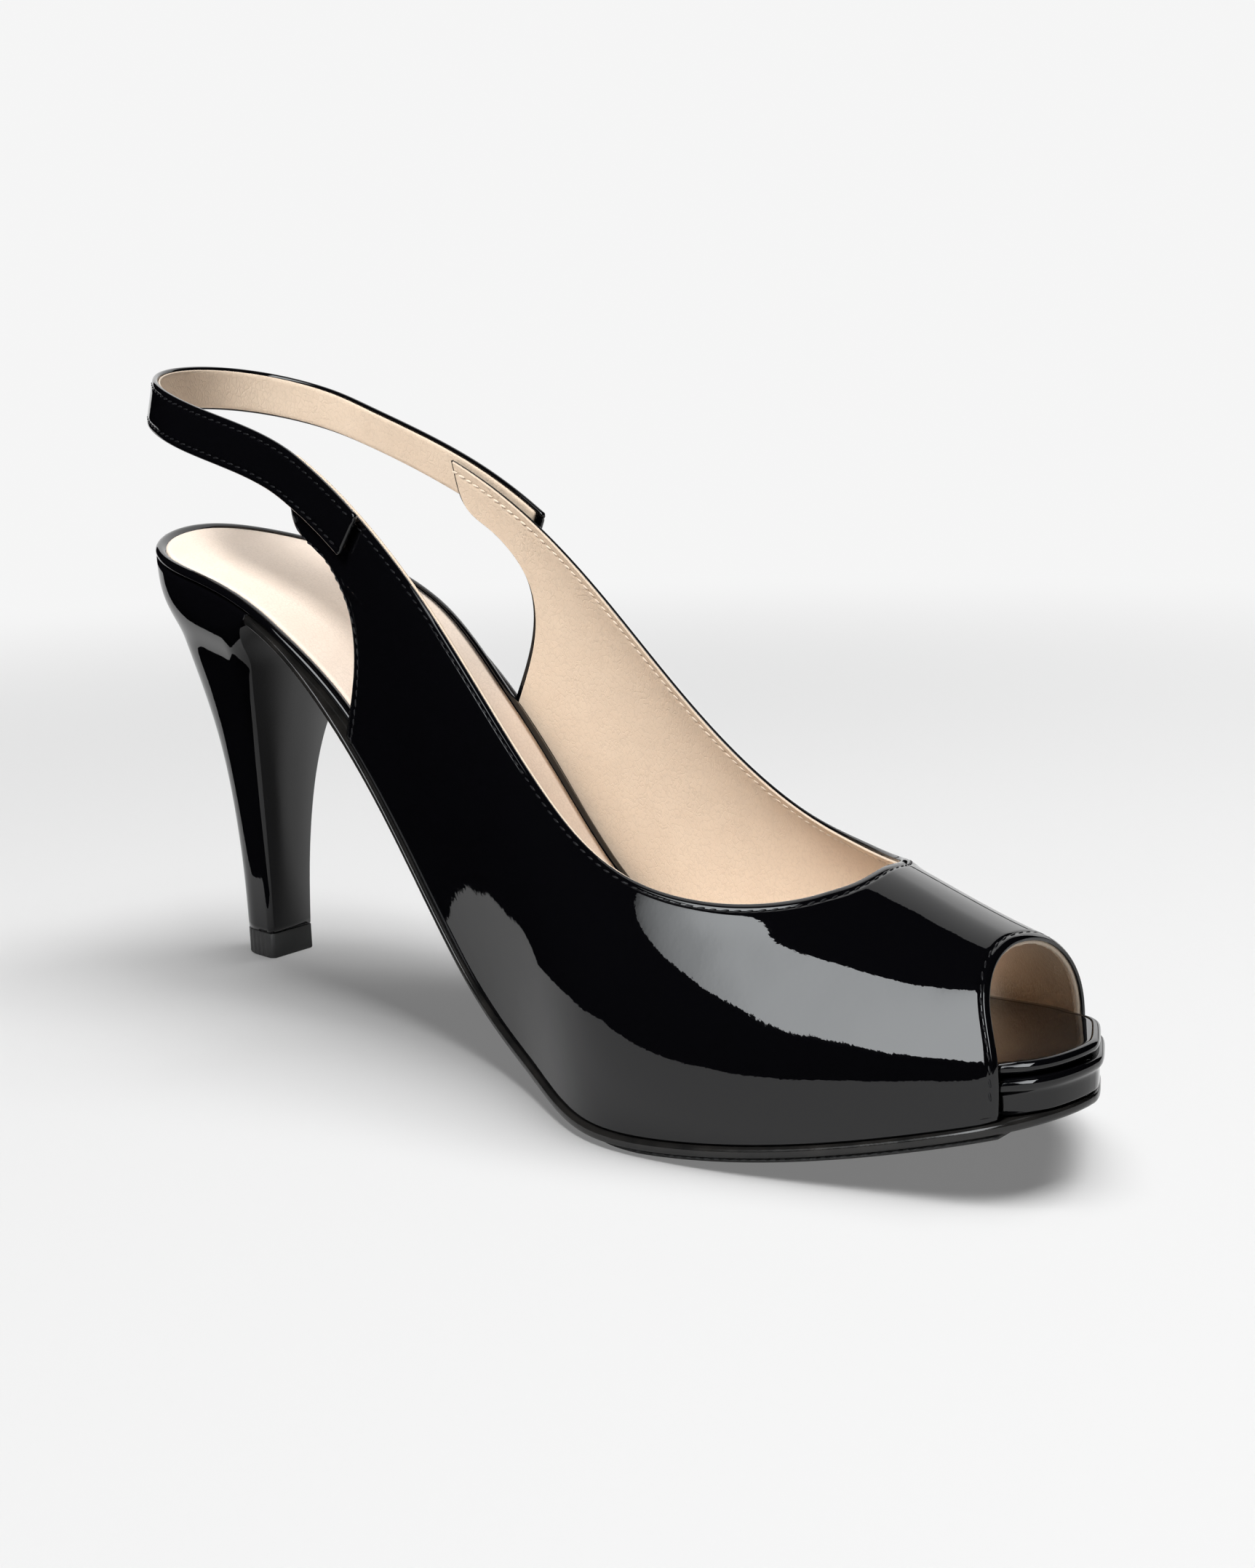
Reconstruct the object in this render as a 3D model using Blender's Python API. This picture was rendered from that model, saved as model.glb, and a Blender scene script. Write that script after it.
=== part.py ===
"""Open-toe slingback pump on a low platform: a left shoe, built on the form of its last.

Every piece is worked out in the shoe's own measures, in millimetres: "back" is the distance behind the
toe tip, "across" is positive towards the wearer's left, which is the lateral side of this left shoe.
"""
import math

import bmesh
import bpy
import numpy as np

MM = 0.001

# Driving sizes, in millimetres
SHOE_LENGTH = 231.0
TOE_TIP_X = 116.1
AXIS_Y = -0.9
CLEARANCE = 0.3

OUTSOLE_THICKNESS = 2.0
INSOLE_THICKNESS = 2.4
RIM_WIDTH = 3.4
RIM_PROUD = 0.6
TREAD_PROUD = 1.0
TREAD_FRONT, TREAD_REAR = 9.0, 93.0
TREAD_INSET = 1.2
TREAD_ROUND = 26.0
SEAT_ROUND_START = 205.0
TOE_ROUND, HEEL_ROUND = 26.0, 24.0
TOE_TIP_CUT = 0.03

UPPER_WALL = 1.5
FEATHER_INSET = 1.0
WALL_HANDLE = 0.68
WALL_RUN = 45.0
QUARTER_FOOT = 160.0

PLATFORM_END = 132.0
HEEL_BREAST = 188.0
TOP_PIECE_HEIGHT = 6.0

STRAP_WIDTH = 10.0
STRAP_THICKNESS = 2.0
STRAP_EDGE = 0.4
STRAP_LIFT = 0.4
STRAP_START, STRAP_LAP_END = 152.0, 172.0
STRAP_ABOVE_TAIL = 0.8
STRAP_TURN, STRAP_BACK = 200.0, 229.5
STRAP_REAR_HEIGHT = 129.5
STRAP_HALF_LOOP = 23.0
STRAP_LEAN = math.radians(12.0)
HEEL_CENTRE = 1.0

# The last and its sole, a row for each section behind the toe tip. medial and lateral are the half-widths
# of the sole, underside is the height of the outsole over the floor and platform its thickness. ridge is the
# height of the last's top line and shift its place across. The crowns are how far the top stays level to
# either side of it, and the bulges how far the walls lean out.
LAST_COLUMNS = ("back", "medial", "lateral", "underside", "platform", "ridge", "shift",
                "medial_crown", "lateral_crown", "medial_bulge", "lateral_bulge")
LAST = (
    (0.0, 0.0, 0.0, 13.8, 6.2, 37.1, -0.5, 6.7, 10.2, -0.2, 2.0),
    (3.0, 10.0, 7.8, 13.0, 6.4, 37.7, -0.5, 6.7, 10.2, -0.2, 2.0),
    (10.0, 17.1, 18.8, 11.1, 6.9, 39.2, -0.5, 6.7, 10.2, -0.2, 2.0),
    (22.0, 22.8, 27.3, 7.8, 7.5, 41.9, -0.5, 6.8, 10.8, 1.7, 1.8),
    (40.0, 30.2, 34.0, 3.9, 7.9, 47.9, -0.8, 7.9, 10.4, 2.9, 2.6),
    (62.0, 37.3, 39.6, 1.3, 8.1, 54.3, -1.1, 15.6, 16.6, 4.2, 4.0),
    (80.0, 38.0, 40.2, 1.0, 8.0, 62.7, -0.9, 22.5, 22.5, 4.8, 4.8),
    (100.0, 30.0, 37.5, 4.1, 5.9, 77.5, -0.6, 27.5, 27.5, 5.0, 5.0),
    (125.0, 22.2, 34.6, 15.9, 1.8, 99.9, -0.3, 30.5, 30.5, 4.6, 4.6),
    (150.0, 20.2, 33.0, 46.4, 0.0, 119.9, 0.0, 28.0, 28.0, 3.0, 3.0),
    (180.0, 21.4, 28.8, 77.0, 0.0, 136.0, 0.3, 22.5, 22.5, 1.0, 1.0),
    (210.0, 23.2, 24.8, 88.6, 0.0, 146.7, 0.5, 20.0, 20.0, 0.0, 0.0),
)

# The topline from the throat back: how far down the wall it lies, 0 on the ridge and 1 on the feather edge.
TOPLINE_COLUMNS = ("back", "medial_down", "lateral_down")
TOPLINE = (
    (40.6, 0.0, 0.0),
    (42.0, 0.225, 0.180),
    (46.0, 0.341, 0.310),
    (52.0, 0.414, 0.400),
    (62.0, 0.466, 0.466),
    (78.0, 0.492, 0.530),
    (100.0, 0.485, 0.545),
    (130.0, 0.442, 0.505),
    (150.0, 0.466, 0.525),
    (172.0, 0.507, 0.567),
)
THROAT_ROW = 2

# The edge of the open toe, from the medial feather edge over the ridge to the lateral one.
TOE_EDGE_COLUMNS = ("across_share", "back")
TOE_EDGE = (
    (-1.0, 8.7),
    (-0.8, 9.4),
    (-0.55, 12.4),
    (-0.3, 14.3),
    (0.0, 13.8),
    (0.4, 12.9),
    (0.7, 12.3),
    (1.0, 13.4),
)

# The rear edge of each quarter, from its foot on the sole up to the tail under the sling strap.
QUARTER_END_COLUMNS = ("along", "back", "up")
QUARTER_END = (
    (0.0, 160.0, 0.0),
    (0.2, 156.8, 0.095),
    (0.4, 154.6, 0.190),
    (0.55, 154.8, 0.255),
    (0.7, 158.5, 0.298),
    (0.82, 165.5, 0.305),
    (0.92, 171.5, 0.320),
)

# The heel from its seat down to the top piece, as shares of its height.
HEEL_COLUMNS = ("down", "front", "rear", "half_width")
HEEL = (
    (0.0, 188.0, 230.4, 23.4),
    (0.05, 190.4, 230.2, 22.4),
    (0.14, 194.2, 229.0, 19.6),
    (0.27, 198.6, 226.6, 15.6),
    (0.45, 203.2, 223.4, 11.0),
    (0.68, 206.2, 221.0, 7.8),
    (0.86, 207.2, 220.2, 6.6),
    (1.0, 207.6, 220.0, 6.2),
)


def column(table, names, name):
    """One column of a table as an array."""
    return np.array([row[names.index(name)] for row in table], float)


def smooth_curve(places, values):
    """A natural cubic curve through the values of a table's column."""
    places = np.asarray(places, float)
    values = np.asarray(values, float)
    steps = np.diff(places)
    count = len(places)
    system = np.eye(count)
    right = np.zeros(count)
    for i in range(1, count - 1):
        system[i, i - 1:i + 2] = steps[i - 1], 2 * (steps[i - 1] + steps[i]), steps[i]
        right[i] = 6 * ((values[i + 1] - values[i]) / steps[i] - (values[i] - values[i - 1]) / steps[i - 1])
    bend = np.linalg.solve(system, right)

    def curve(at):
        at = np.asarray(at, float)
        i = np.clip(np.searchsorted(places, at) - 1, 0, count - 2)
        left = (places[i + 1] - at) / steps[i]
        far = (at - places[i]) / steps[i]
        sag = ((left ** 3 - left) * bend[i] + (far ** 3 - far) * bend[i + 1]) * steps[i] ** 2 / 6
        return left * values[i] + far * values[i + 1] + sag

    return curve


def smooth_path(points, count, carried):
    """Points spaced along a smooth curve through the given points, and a carried vector at each."""
    run = np.concatenate([[0.0], np.cumsum(np.linalg.norm(np.diff(points, axis=0), axis=1))])
    at = np.linspace(0.0, run[-1], count)
    return tuple(np.stack([smooth_curve(run, rows[:, k])(at) for k in range(3)], axis=1)
                 for rows in (points, carried))


def ease(value, start, end):
    """0 before start, 1 after end, smooth between."""
    share = np.clip((np.asarray(value, float) - start) / (end - start), 0.0, 1.0)
    return share * share * (3 - 2 * share)


last_back = column(LAST, LAST_COLUMNS, "back")
toe_root = np.sqrt(last_back / SHOE_LENGTH)
medial_width = smooth_curve(toe_root, column(LAST, LAST_COLUMNS, "medial"))
lateral_width = smooth_curve(toe_root, column(LAST, LAST_COLUMNS, "lateral"))
underside = smooth_curve(last_back, column(LAST, LAST_COLUMNS, "underside"))
platform_depth = smooth_curve(last_back, column(LAST, LAST_COLUMNS, "platform"))
ridge_height = smooth_curve(last_back, column(LAST, LAST_COLUMNS, "ridge"))
ridge_shift = smooth_curve(last_back, column(LAST, LAST_COLUMNS, "shift"))
medial_crown = smooth_curve(last_back, column(LAST, LAST_COLUMNS, "medial_crown"))
lateral_crown = smooth_curve(last_back, column(LAST, LAST_COLUMNS, "lateral_crown"))
medial_bulge = smooth_curve(last_back, column(LAST, LAST_COLUMNS, "medial_bulge"))
lateral_bulge = smooth_curve(last_back, column(LAST, LAST_COLUMNS, "lateral_bulge"))


def sole_width(back, side):
    """Half-width of the sole, from its rows against the root of the distance, with a round heel end."""
    root = np.sqrt(np.clip(back, 0.0, SHOE_LENGTH) / SHOE_LENGTH)
    width = np.where(side < 0, medial_width(root), lateral_width(root))
    turn = np.clip((back - SEAT_ROUND_START) / (SHOE_LENGTH - SEAT_ROUND_START), 0.0, 1.0)
    return width * np.sqrt(1.0 - turn ** 2.4)


def platform_thickness(back):
    """Room for the platform between outsole and insole, which thins out to nothing under the waist."""
    return np.maximum(platform_depth(back), 0.0)


def outsole_top(back):
    return underside(back) + OUTSOLE_THICKNESS


def insole_base(back):
    return outsole_top(back) + platform_thickness(back) + CLEARANCE


def last_point(back, across_share):
    """A point of the upper's outer face: across_share is 0 on the ridge, -1 and 1 on the feather edges."""
    back = np.asarray(back, float)
    across_share = np.asarray(across_share, float)
    side = np.where(across_share < 0, -1.0, 1.0)
    up = 1.0 - np.abs(across_share)
    foot = sole_width(back, side) - FEATHER_INSET
    low = outsole_top(back) + CLEARANCE
    top = ridge_height(back)
    centre = side * ridge_shift(back)
    wall_out = foot + np.where(side < 0, medial_bulge(back), lateral_bulge(back))
    wall_up = low + WALL_HANDLE * (top - low)
    crown_out = centre + np.where(side < 0, medial_crown(back), lateral_crown(back))
    first, second, third, fourth = (1 - up) ** 3, 3 * up * (1 - up) ** 2, 3 * up ** 2 * (1 - up), up ** 3
    out = first * foot + second * wall_out + third * crown_out + fourth * centre
    height = first * low + second * wall_up + (third + fourth) * top
    return np.stack([-back, side * out, height], axis=-1)


def sole_outline(stations, inset):
    """The sole's outline at the stations, drawn in by inset: up the medial side, round, down the lateral."""
    stations = np.asarray(stations, float)
    medial = np.stack([-stations, -sole_width(stations, -1)], axis=1)[::-1]
    lateral = np.stack([-stations, sole_width(stations, 1)], axis=1)
    loop = np.concatenate([medial, lateral])
    along = np.gradient(loop, axis=0)
    along /= np.linalg.norm(along, axis=1)[:, None]
    outward = np.stack([along[:, 1], -along[:, 0]], axis=1)
    depth = np.broadcast_to(inset, (len(stations),))
    both = np.concatenate([depth[::-1], depth])
    return loop - outward * both[:, None]


def sole_stations(front, rear, step, round_rear=False):
    """Stations a step apart that crowd together where the outline turns, at the toe and at a round rear."""
    toe = front + TOE_ROUND * np.linspace(0.0, 1.0, 12) ** 2
    rear_start = rear - HEEL_ROUND if round_rear else rear
    middle = np.linspace(toe[-1], rear_start, int((rear_start - toe[-1]) / step) + 1)
    end = rear - HEEL_ROUND * np.linspace(1.0, 0.0, 10) ** 2 if round_rear else middle[-1:]
    return np.concatenate([toe, middle[1:], end[1:]])


def stacked_loops(stations, levels, floor):
    """Loops of one outline, level over level: each level is an inset and a height over the floor curve."""
    loops = []
    for inset, rise in levels:
        plan = sole_outline(stations, inset)
        loop_rise = np.broadcast_to(rise, (len(stations),))
        both = np.concatenate([loop_rise[::-1], loop_rise])
        loops.append(np.column_stack([plan, floor(-plan[:, 0]) + both]))
    return np.array(loops)


def loop_faces(levels, count):
    """Side faces between stacked loops and a ladder of faces over each end."""
    faces = []
    for level in range(levels - 1):
        for i in range(count):
            j = (i + 1) % count
            faces.append((level * count + i, level * count + j, (level + 1) * count + j, (level + 1) * count + i))
    half = count // 2
    for base in (0, (levels - 1) * count):
        for i in range(half - 1):
            faces.append((base + i, base + i + 1, base + count - 2 - i, base + count - 1 - i))
    return faces


def wall_faces(rows, columns):
    """Faces of a wall: two grids of points and the strip that joins their rims."""
    sheet = rows * columns
    faces = []
    for layer in (0, sheet):
        for r in range(rows - 1):
            for c in range(columns - 1):
                a = layer + r * columns + c
                faces.append((a, a + 1, a + columns + 1, a + columns))
    rim = list(range(columns)) + [r * columns + columns - 1 for r in range(1, rows)]
    rim += [(rows - 1) * columns + c for c in range(columns - 2, -1, -1)]
    rim += [r * columns for r in range(rows - 2, 0, -1)]
    for i, a in enumerate(rim):
        b = rim[(i + 1) % len(rim)]
        faces.append((a, b, sheet + b, sheet + a))
    return faces


def finish(name, colour, roughness, coat=0.0):
    """A plain finish for one piece."""
    material = bpy.data.materials.new(name)
    material.use_nodes = True
    shader = material.node_tree.nodes["Principled BSDF"]
    shader.inputs["Base Color"].default_value = (*colour, 1.0)
    shader.inputs["Roughness"].default_value = roughness
    shader.inputs["Coat Weight"].default_value = coat
    return material


def make_piece(name, points, faces, material, parent):
    """One closed piece from points in millimetres, set in the shoe's frame."""
    points = np.asarray(points, float).reshape(-1, 3)
    mesh = bpy.data.meshes.new(name)
    mesh.from_pydata((points * MM).tolist(), [], faces)
    shape = bmesh.new()
    shape.from_mesh(mesh)
    bmesh.ops.recalc_face_normals(shape, faces=shape.faces)
    if shape.calc_volume(signed=True) < 0.0:
        bmesh.ops.reverse_faces(shape, faces=shape.faces)
    shape.to_mesh(mesh)
    shape.free()
    mesh.shade_smooth()
    mesh.set_sharp_from_angle(angle=math.radians(40.0))
    mesh.materials.append(material)
    piece = bpy.data.objects.new(name, mesh)
    piece.parent = parent
    bpy.context.collection.objects.link(piece)
    return piece


def stacked_piece(name, loops, material, parent):
    levels, count = loops.shape[:2]
    return make_piece(name, loops, loop_faces(levels, count), material, parent)


def build_tread(material, parent):
    """Thin rubber half sole under the forefoot, ground flat where the shoe stands on it."""
    stations = np.concatenate([np.linspace(TREAD_FRONT, TREAD_REAR - TREAD_ROUND, 16)[:-1],
                               TREAD_REAR - TREAD_ROUND * np.linspace(1.0, 0.0, 12) ** 2])
    rear_turn = np.clip(1.0 - (TREAD_REAR - stations) / TREAD_ROUND, 0.0, 1.0)
    narrowest = 0.06
    pull = np.maximum(np.sqrt(1.0 - rear_turn ** 3), narrowest)
    width = np.stack([sole_width(stations, -1), sole_width(stations, 1)])
    profile_drawn_in_and_drop = ((0.35, 1.0), (0.0, 0.7), (0.0, 0.0))
    loops = []
    for drawn_in, drop in profile_drawn_in_and_drop:
        half = (width - TREAD_INSET - drawn_in) * pull
        plan = np.concatenate([np.stack([-stations, -half[0]], axis=1)[::-1], np.stack([-stations, half[1]], axis=1)])
        seat = underside(-plan[:, 0]) - CLEARANCE
        bottom = np.maximum(underside(-plan[:, 0]) - TREAD_PROUD, 0.0)
        loops.append(np.column_stack([plan, seat + (bottom - seat) * drop]))
    return stacked_piece("forefoot_tread", np.array(loops), material, parent)


def build_outsole(material, parent):
    """Thin leather outsole from the toe tip to the heel's breast, its edge slightly rounded."""
    stations = sole_stations(TOE_TIP_CUT, HEEL_BREAST - CLEARANCE, 5.0)
    edge = OUTSOLE_THICKNESS
    levels = ((0.5, 0.0), (0.0, 0.2 * edge), (0.0, 0.75 * edge), (0.35, edge))
    return stacked_piece("outsole", stacked_loops(stations, levels, underside), material, parent)


def inner_inset(stations, at_toe, inside, at_seat):
    """How far a piece keeps inside the sole's edge: at the open toe, inside the upper, on the heel seat."""
    toe = 1.0 - ease(stations, 0.5, 7.5)
    seat = ease(stations, QUARTER_FOOT + 1.0, QUARTER_FOOT + 11.0)
    return inside + (at_toe - inside) * toe + (at_seat - inside) * seat


def build_platform(material, parent):
    """Wrapped platform: a plain face that leans out to a rolled ridge under the insole."""
    stations = sole_stations(TOE_TIP_CUT, PLATFORM_END, 6.0)
    depth = platform_thickness(stations) - CLEARANCE
    face = inner_inset(stations, 0.0, 3.7, 3.7)
    groove, plain_face = [(0.9, 0.0), (0.45, 0.10)], [(0.15, 0.42)]
    ridge = [(-0.35, 0.62), (-0.62, 0.76), (-0.42, 0.90), (0.35, 1.0)]
    levels = [(face + drawn_in, CLEARANCE + depth * up) for drawn_in, up in groove + plain_face + ridge]
    return stacked_piece("platform", stacked_loops(stations, levels, outsole_top), material, parent)


def build_insole(material, parent):
    """Insole board with a rolled rim all round and a slightly sunk bed for the sock."""
    stations = sole_stations(TOE_TIP_CUT, SHOE_LENGTH - TOE_TIP_CUT, 5.5, round_rear=True)
    edge = inner_inset(stations, 0.2, 3.2, 0.4)
    tall = INSOLE_THICKNESS
    profile = ((1.3, 0.0), (0.35, 0.18 * tall), (0.0, 0.48 * tall), (0.3, 0.78 * tall), (1.2, tall),
               (0.72 * RIM_WIDTH, 0.97 * tall), (RIM_WIDTH, tall - RIM_PROUD))
    levels = [(edge + drawn_in, rise) for drawn_in, rise in profile]
    return stacked_piece("insole", stacked_loops(stations, levels, insole_base), material, parent)


def topline_points():
    """The topline from the medial tail round the throat to the lateral tail: back and across_share."""
    back = column(TOPLINE, TOPLINE_COLUMNS, "back")
    medial = column(TOPLINE, TOPLINE_COLUMNS, "medial_down")
    lateral = column(TOPLINE, TOPLINE_COLUMNS, "lateral_down")
    left_half = np.stack([back, -medial], axis=1)[::-1]
    right_half = np.stack([back, lateral], axis=1)[1:]
    return np.concatenate([left_half, right_half])


def upper_grid(side_columns, toe_columns, rows):
    """Places on the last over the whole upper: a band that runs round the shoe from one tail to the other.

    Its outer rim is the feather edge and the toe's edge, its inner rim the topline round the throat.
    """
    toe_back = smooth_curve(column(TOE_EDGE, TOE_EDGE_COLUMNS, "across_share"),
                            column(TOE_EDGE, TOE_EDGE_COLUMNS, "back"))
    toe_share = np.linspace(-1.0, 1.0, 2 * toe_columns + 1)
    toe_rim = np.stack([toe_back(toe_share), toe_share], axis=1)
    rims = []
    for side in (-1.0, 1.0):
        run = np.linspace(QUARTER_FOOT, float(toe_back(side)), side_columns + 1)
        rims.append(np.stack([run, np.full_like(run, side)], axis=1))
    outer = np.concatenate([rims[0][:-1], toe_rim, rims[1][::-1][1:]])

    top = topline_points()
    run = top * np.array([1.0, WALL_RUN])
    length = np.concatenate([[0.0], np.cumsum(np.linalg.norm(np.diff(run, axis=0), axis=1))])
    row_count = len(TOPLINE)
    medial_corner = length[row_count - 1 - THROAT_ROW]
    throat = length[row_count - 1]
    lateral_corner = length[row_count - 1 + THROAT_ROW]
    marks = np.concatenate([
        np.linspace(0.0, medial_corner, side_columns + 1)[:-1],
        np.linspace(medial_corner, throat, toe_columns + 1)[:-1],
        np.linspace(throat, lateral_corner, toe_columns + 1)[:-1],
        np.linspace(lateral_corner, length[-1], side_columns + 1)])
    inner = np.stack([smooth_curve(length, top[:, k])(marks) for k in range(2)], axis=1)

    share = np.linspace(0.0, 1.0, rows)
    grid = outer[None] * (1 - share[:, None, None]) + inner[None] * share[:, None, None]

    along = column(QUARTER_END, QUARTER_END_COLUMNS, "along")
    end_back = column(QUARTER_END, QUARTER_END_COLUMNS, "back")
    end_up = column(QUARTER_END, QUARTER_END_COLUMNS, "up")
    columns = grid.shape[1]
    reach = int(0.8 * side_columns)
    for side, order in ((-1.0, range(reach)), (1.0, range(columns - 1, columns - 1 - reach, -1))):
        tip = inner[0] if side < 0 else inner[-1]
        places = np.append(along, 1.0)
        edge_back = smooth_curve(places, np.append(end_back, tip[0]))(share)
        edge_share = side * (1.0 - smooth_curve(places, np.append(end_up, 1.0 - abs(tip[1])))(share))
        edge = np.stack([edge_back, edge_share], axis=1)
        straight = grid[:, 0].copy() if side < 0 else grid[:, -1].copy()
        for step, c in enumerate(order):
            fade = 1.0 - ease(step, 0, reach)
            grid[:, c] += fade * (edge - straight)
    return grid


def wall_normals(points):
    """Outward normals over a grid of points."""
    across = np.gradient(points, axis=0)
    along = np.gradient(points, axis=1)
    normal = np.cross(along, across)
    return normal / np.linalg.norm(normal, axis=-1)[..., None]


def build_upper(material, parent):
    """The upper: one lasted wall, open at the toe, the throat, the back and underneath."""
    places = upper_grid(side_columns=26, toe_columns=9, rows=13)
    outer = last_point(places[..., 0], places[..., 1])
    normal = wall_normals(outer)
    normal[0, :, 2] = 0.0
    normal[0] /= np.linalg.norm(normal[0], axis=-1)[:, None]
    inner = outer - normal * UPPER_WALL
    rows, columns = outer.shape[:2]
    points = np.concatenate([outer.reshape(-1, 3), inner.reshape(-1, 3)])
    return make_piece("upper", points, wall_faces(rows, columns), material, parent)


def wall_outward(back, across_share):
    """Unit outward normal of the last's wall at one place."""
    nudge = 0.01
    along = last_point(back + nudge, across_share) - last_point(back - nudge, across_share)
    across = last_point(back, across_share + nudge) - last_point(back, across_share - nudge)
    normal = np.cross(along, across)
    normal *= np.sign(normal[1] * across_share)
    return normal / np.linalg.norm(normal)


def strap_tail(side):
    """Middle line of the strap where it laps over one quarter's tail, and the wall's outward there."""
    top = topline_points()
    count = len(TOPLINE)
    half = top[:count][::-1] if side < 0 else top[count - 1:]
    edge = smooth_curve(half[:, 0], half[:, 1])
    points, outward = [], []
    for back in np.linspace(STRAP_START, STRAP_LAP_END, 5):
        rim_share = float(edge(back))
        rim = last_point(back, rim_share)
        below = last_point(back, rim_share + 0.1 * side)
        down = (below - rim) / np.linalg.norm(below - rim)
        points.append(rim + down * (0.5 * STRAP_WIDTH - STRAP_ABOVE_TAIL))
        outward.append(wall_outward(back, rim_share + 0.07 * side))
    return np.array(points), np.array(outward)


def strap_route():
    """Middle line of the sling strap over both tails and round behind the heel, with its outward face."""
    medial, medial_out = strap_tail(-1.0)
    lateral, lateral_out = strap_tail(1.0)
    turn = np.linspace(0.0, math.pi, 11)
    reach = STRAP_BACK - STRAP_TURN
    back = STRAP_TURN + reach * np.sin(turn)
    across = HEEL_CENTRE - STRAP_HALF_LOOP * np.cos(turn)
    share = (back - STRAP_LAP_END) / (STRAP_BACK - STRAP_LAP_END)
    tail_height = np.where(turn < 0.5 * math.pi, medial[-1, 2], lateral[-1, 2])
    height = tail_height + (STRAP_REAR_HEIGHT - tail_height) * (1.2 * share - 0.2 * share ** 2)
    loop = np.stack([-back, across, height], axis=1)
    level = np.stack([-np.sin(turn) / reach, -np.cos(turn) / STRAP_HALF_LOOP], axis=1)
    level *= math.cos(STRAP_LEAN) / np.linalg.norm(level, axis=1)[:, None]
    loop_out = np.column_stack([level, np.full(len(turn), math.sin(STRAP_LEAN))])
    return (np.concatenate([medial, loop, lateral[::-1]]),
            np.concatenate([medial_out, loop_out, lateral_out[::-1]]))


def build_strap(material, parent):
    """Flat folded sling strap, its ends lapped over the outside of the two tails."""
    points, outward = strap_route()
    middle, face = smooth_path(points, 75, outward)
    along = np.gradient(middle, axis=0)
    along /= np.linalg.norm(along, axis=1)[:, None]
    rise = np.cross(face, along)
    rise *= np.sign(rise[:, 2:3]) / np.linalg.norm(rise, axis=1)[:, None]
    square = np.cross(along, rise)
    face = square * np.sign(np.sum(square * face, axis=1))[:, None]
    half = 0.5 * STRAP_WIDTH
    edge = STRAP_EDGE
    profile = ((-half + edge, 0.0), (half - edge, 0.0), (half, edge), (half, STRAP_THICKNESS - edge),
               (half - edge, STRAP_THICKNESS), (-half + edge, STRAP_THICKNESS), (-half, STRAP_THICKNESS - edge),
               (-half, edge))
    loops = np.array([[m + r * up + f * (out + STRAP_LIFT) for up, out in profile]
                      for m, r, f in zip(middle, rise, face)])
    count = len(profile)
    faces = []
    for k in range(len(loops) - 1):
        for i in range(count):
            j = (i + 1) % count
            faces.append((k * count + i, k * count + j, (k + 1) * count + j, (k + 1) * count + i))
    faces.append(tuple(range(count)))
    faces.append(tuple((len(loops) - 1) * count + i for i in range(count)))
    return make_piece("sling_strap", loops, faces, material, parent)


def heel_section(share, front, rear, half_width, count):
    """One level of the heel: pairs of points from its flat breast to its round back."""
    round_start, corner_run, corner_cut = 0.42, 0.12, 0.14
    seat_inset, seat_share = 0.6, 0.2
    place = 0.5 - 0.5 * np.cos(math.pi * np.linspace(0.0, 1.0, count))
    back = front + (rear - front) * place
    turn = np.clip((place - round_start) / (1.0 - round_start), 0.0, 1.0)
    corner = np.clip(1.0 - place / corner_run, 0.0, 1.0)
    half = half_width * np.sqrt(1.0 - turn ** 2.4) * (1.0 - corner_cut * corner ** 2)
    seat_medial = sole_width(back, -1) - seat_inset
    seat_lateral = sole_width(back, 1) - seat_inset
    blend = ease(share, 0.0, seat_share)
    centre = HEEL_CENTRE
    medial = (1 - blend) * seat_medial + blend * (half - centre)
    lateral = (1 - blend) * seat_lateral + blend * (half + centre)
    smallest = 0.25
    return back, np.maximum(medial, smallest - centre), np.maximum(lateral, smallest + centre)


def build_heel(material, rubber, parent):
    """Slim covered heel under the seat, standing on a rubber top piece."""
    count = 16
    down = column(HEEL, HEEL_COLUMNS, "down")
    curves = [smooth_curve(down, column(HEEL, HEEL_COLUMNS, name)) for name in HEEL_COLUMNS[1:]]
    foot = TOP_PIECE_HEIGHT + CLEARANCE
    loops = []
    for share in np.concatenate([np.linspace(0.0, 0.3, 7), np.linspace(0.4, 1.0, 7)]):
        front, rear, half_width = (curve(share) for curve in curves)
        back, medial, lateral = heel_section(share, front, rear, half_width, count)
        seat = outsole_top(back)
        height = seat + (foot - seat) * share
        loops.append(np.concatenate([np.stack([-back, -medial, height], axis=1)[::-1],
                                     np.stack([-back, lateral, height], axis=1)]))
    stacked_piece("heel", np.array(loops), material, parent)

    front, rear, half_width = (curve(1.0) for curve in curves)
    loops = []
    for drawn_in, height in ((0.3, 0.0), (0.0, 0.3), (0.0, TOP_PIECE_HEIGHT)):
        back, medial, lateral = heel_section(1.0, front + drawn_in, rear - drawn_in, half_width - drawn_in, count)
        level = np.full_like(back, height)
        loops.append(np.concatenate([np.stack([-back, -medial, level], axis=1)[::-1],
                                     np.stack([-back, lateral, level], axis=1)]))
    stacked_piece("heel_top_piece", np.array(loops), rubber, parent)


for old in list(bpy.data.objects):
    bpy.data.objects.remove(old, do_unlink=True)

shoe = bpy.data.objects.new("shoe", None)
shoe.location = (TOE_TIP_X * MM, AXIS_Y * MM, 0.0)
bpy.context.collection.objects.link(shoe)

patent = finish("black_patent", (0.006, 0.006, 0.008), 0.06, 1.0)
sole_leather = finish("black_sole_leather", (0.015, 0.013, 0.012), 0.35)
sock_leather = finish("beige_sock_leather", (0.66, 0.52, 0.42), 0.55)
rubber = finish("black_rubber", (0.02, 0.02, 0.02), 0.6)

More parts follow.
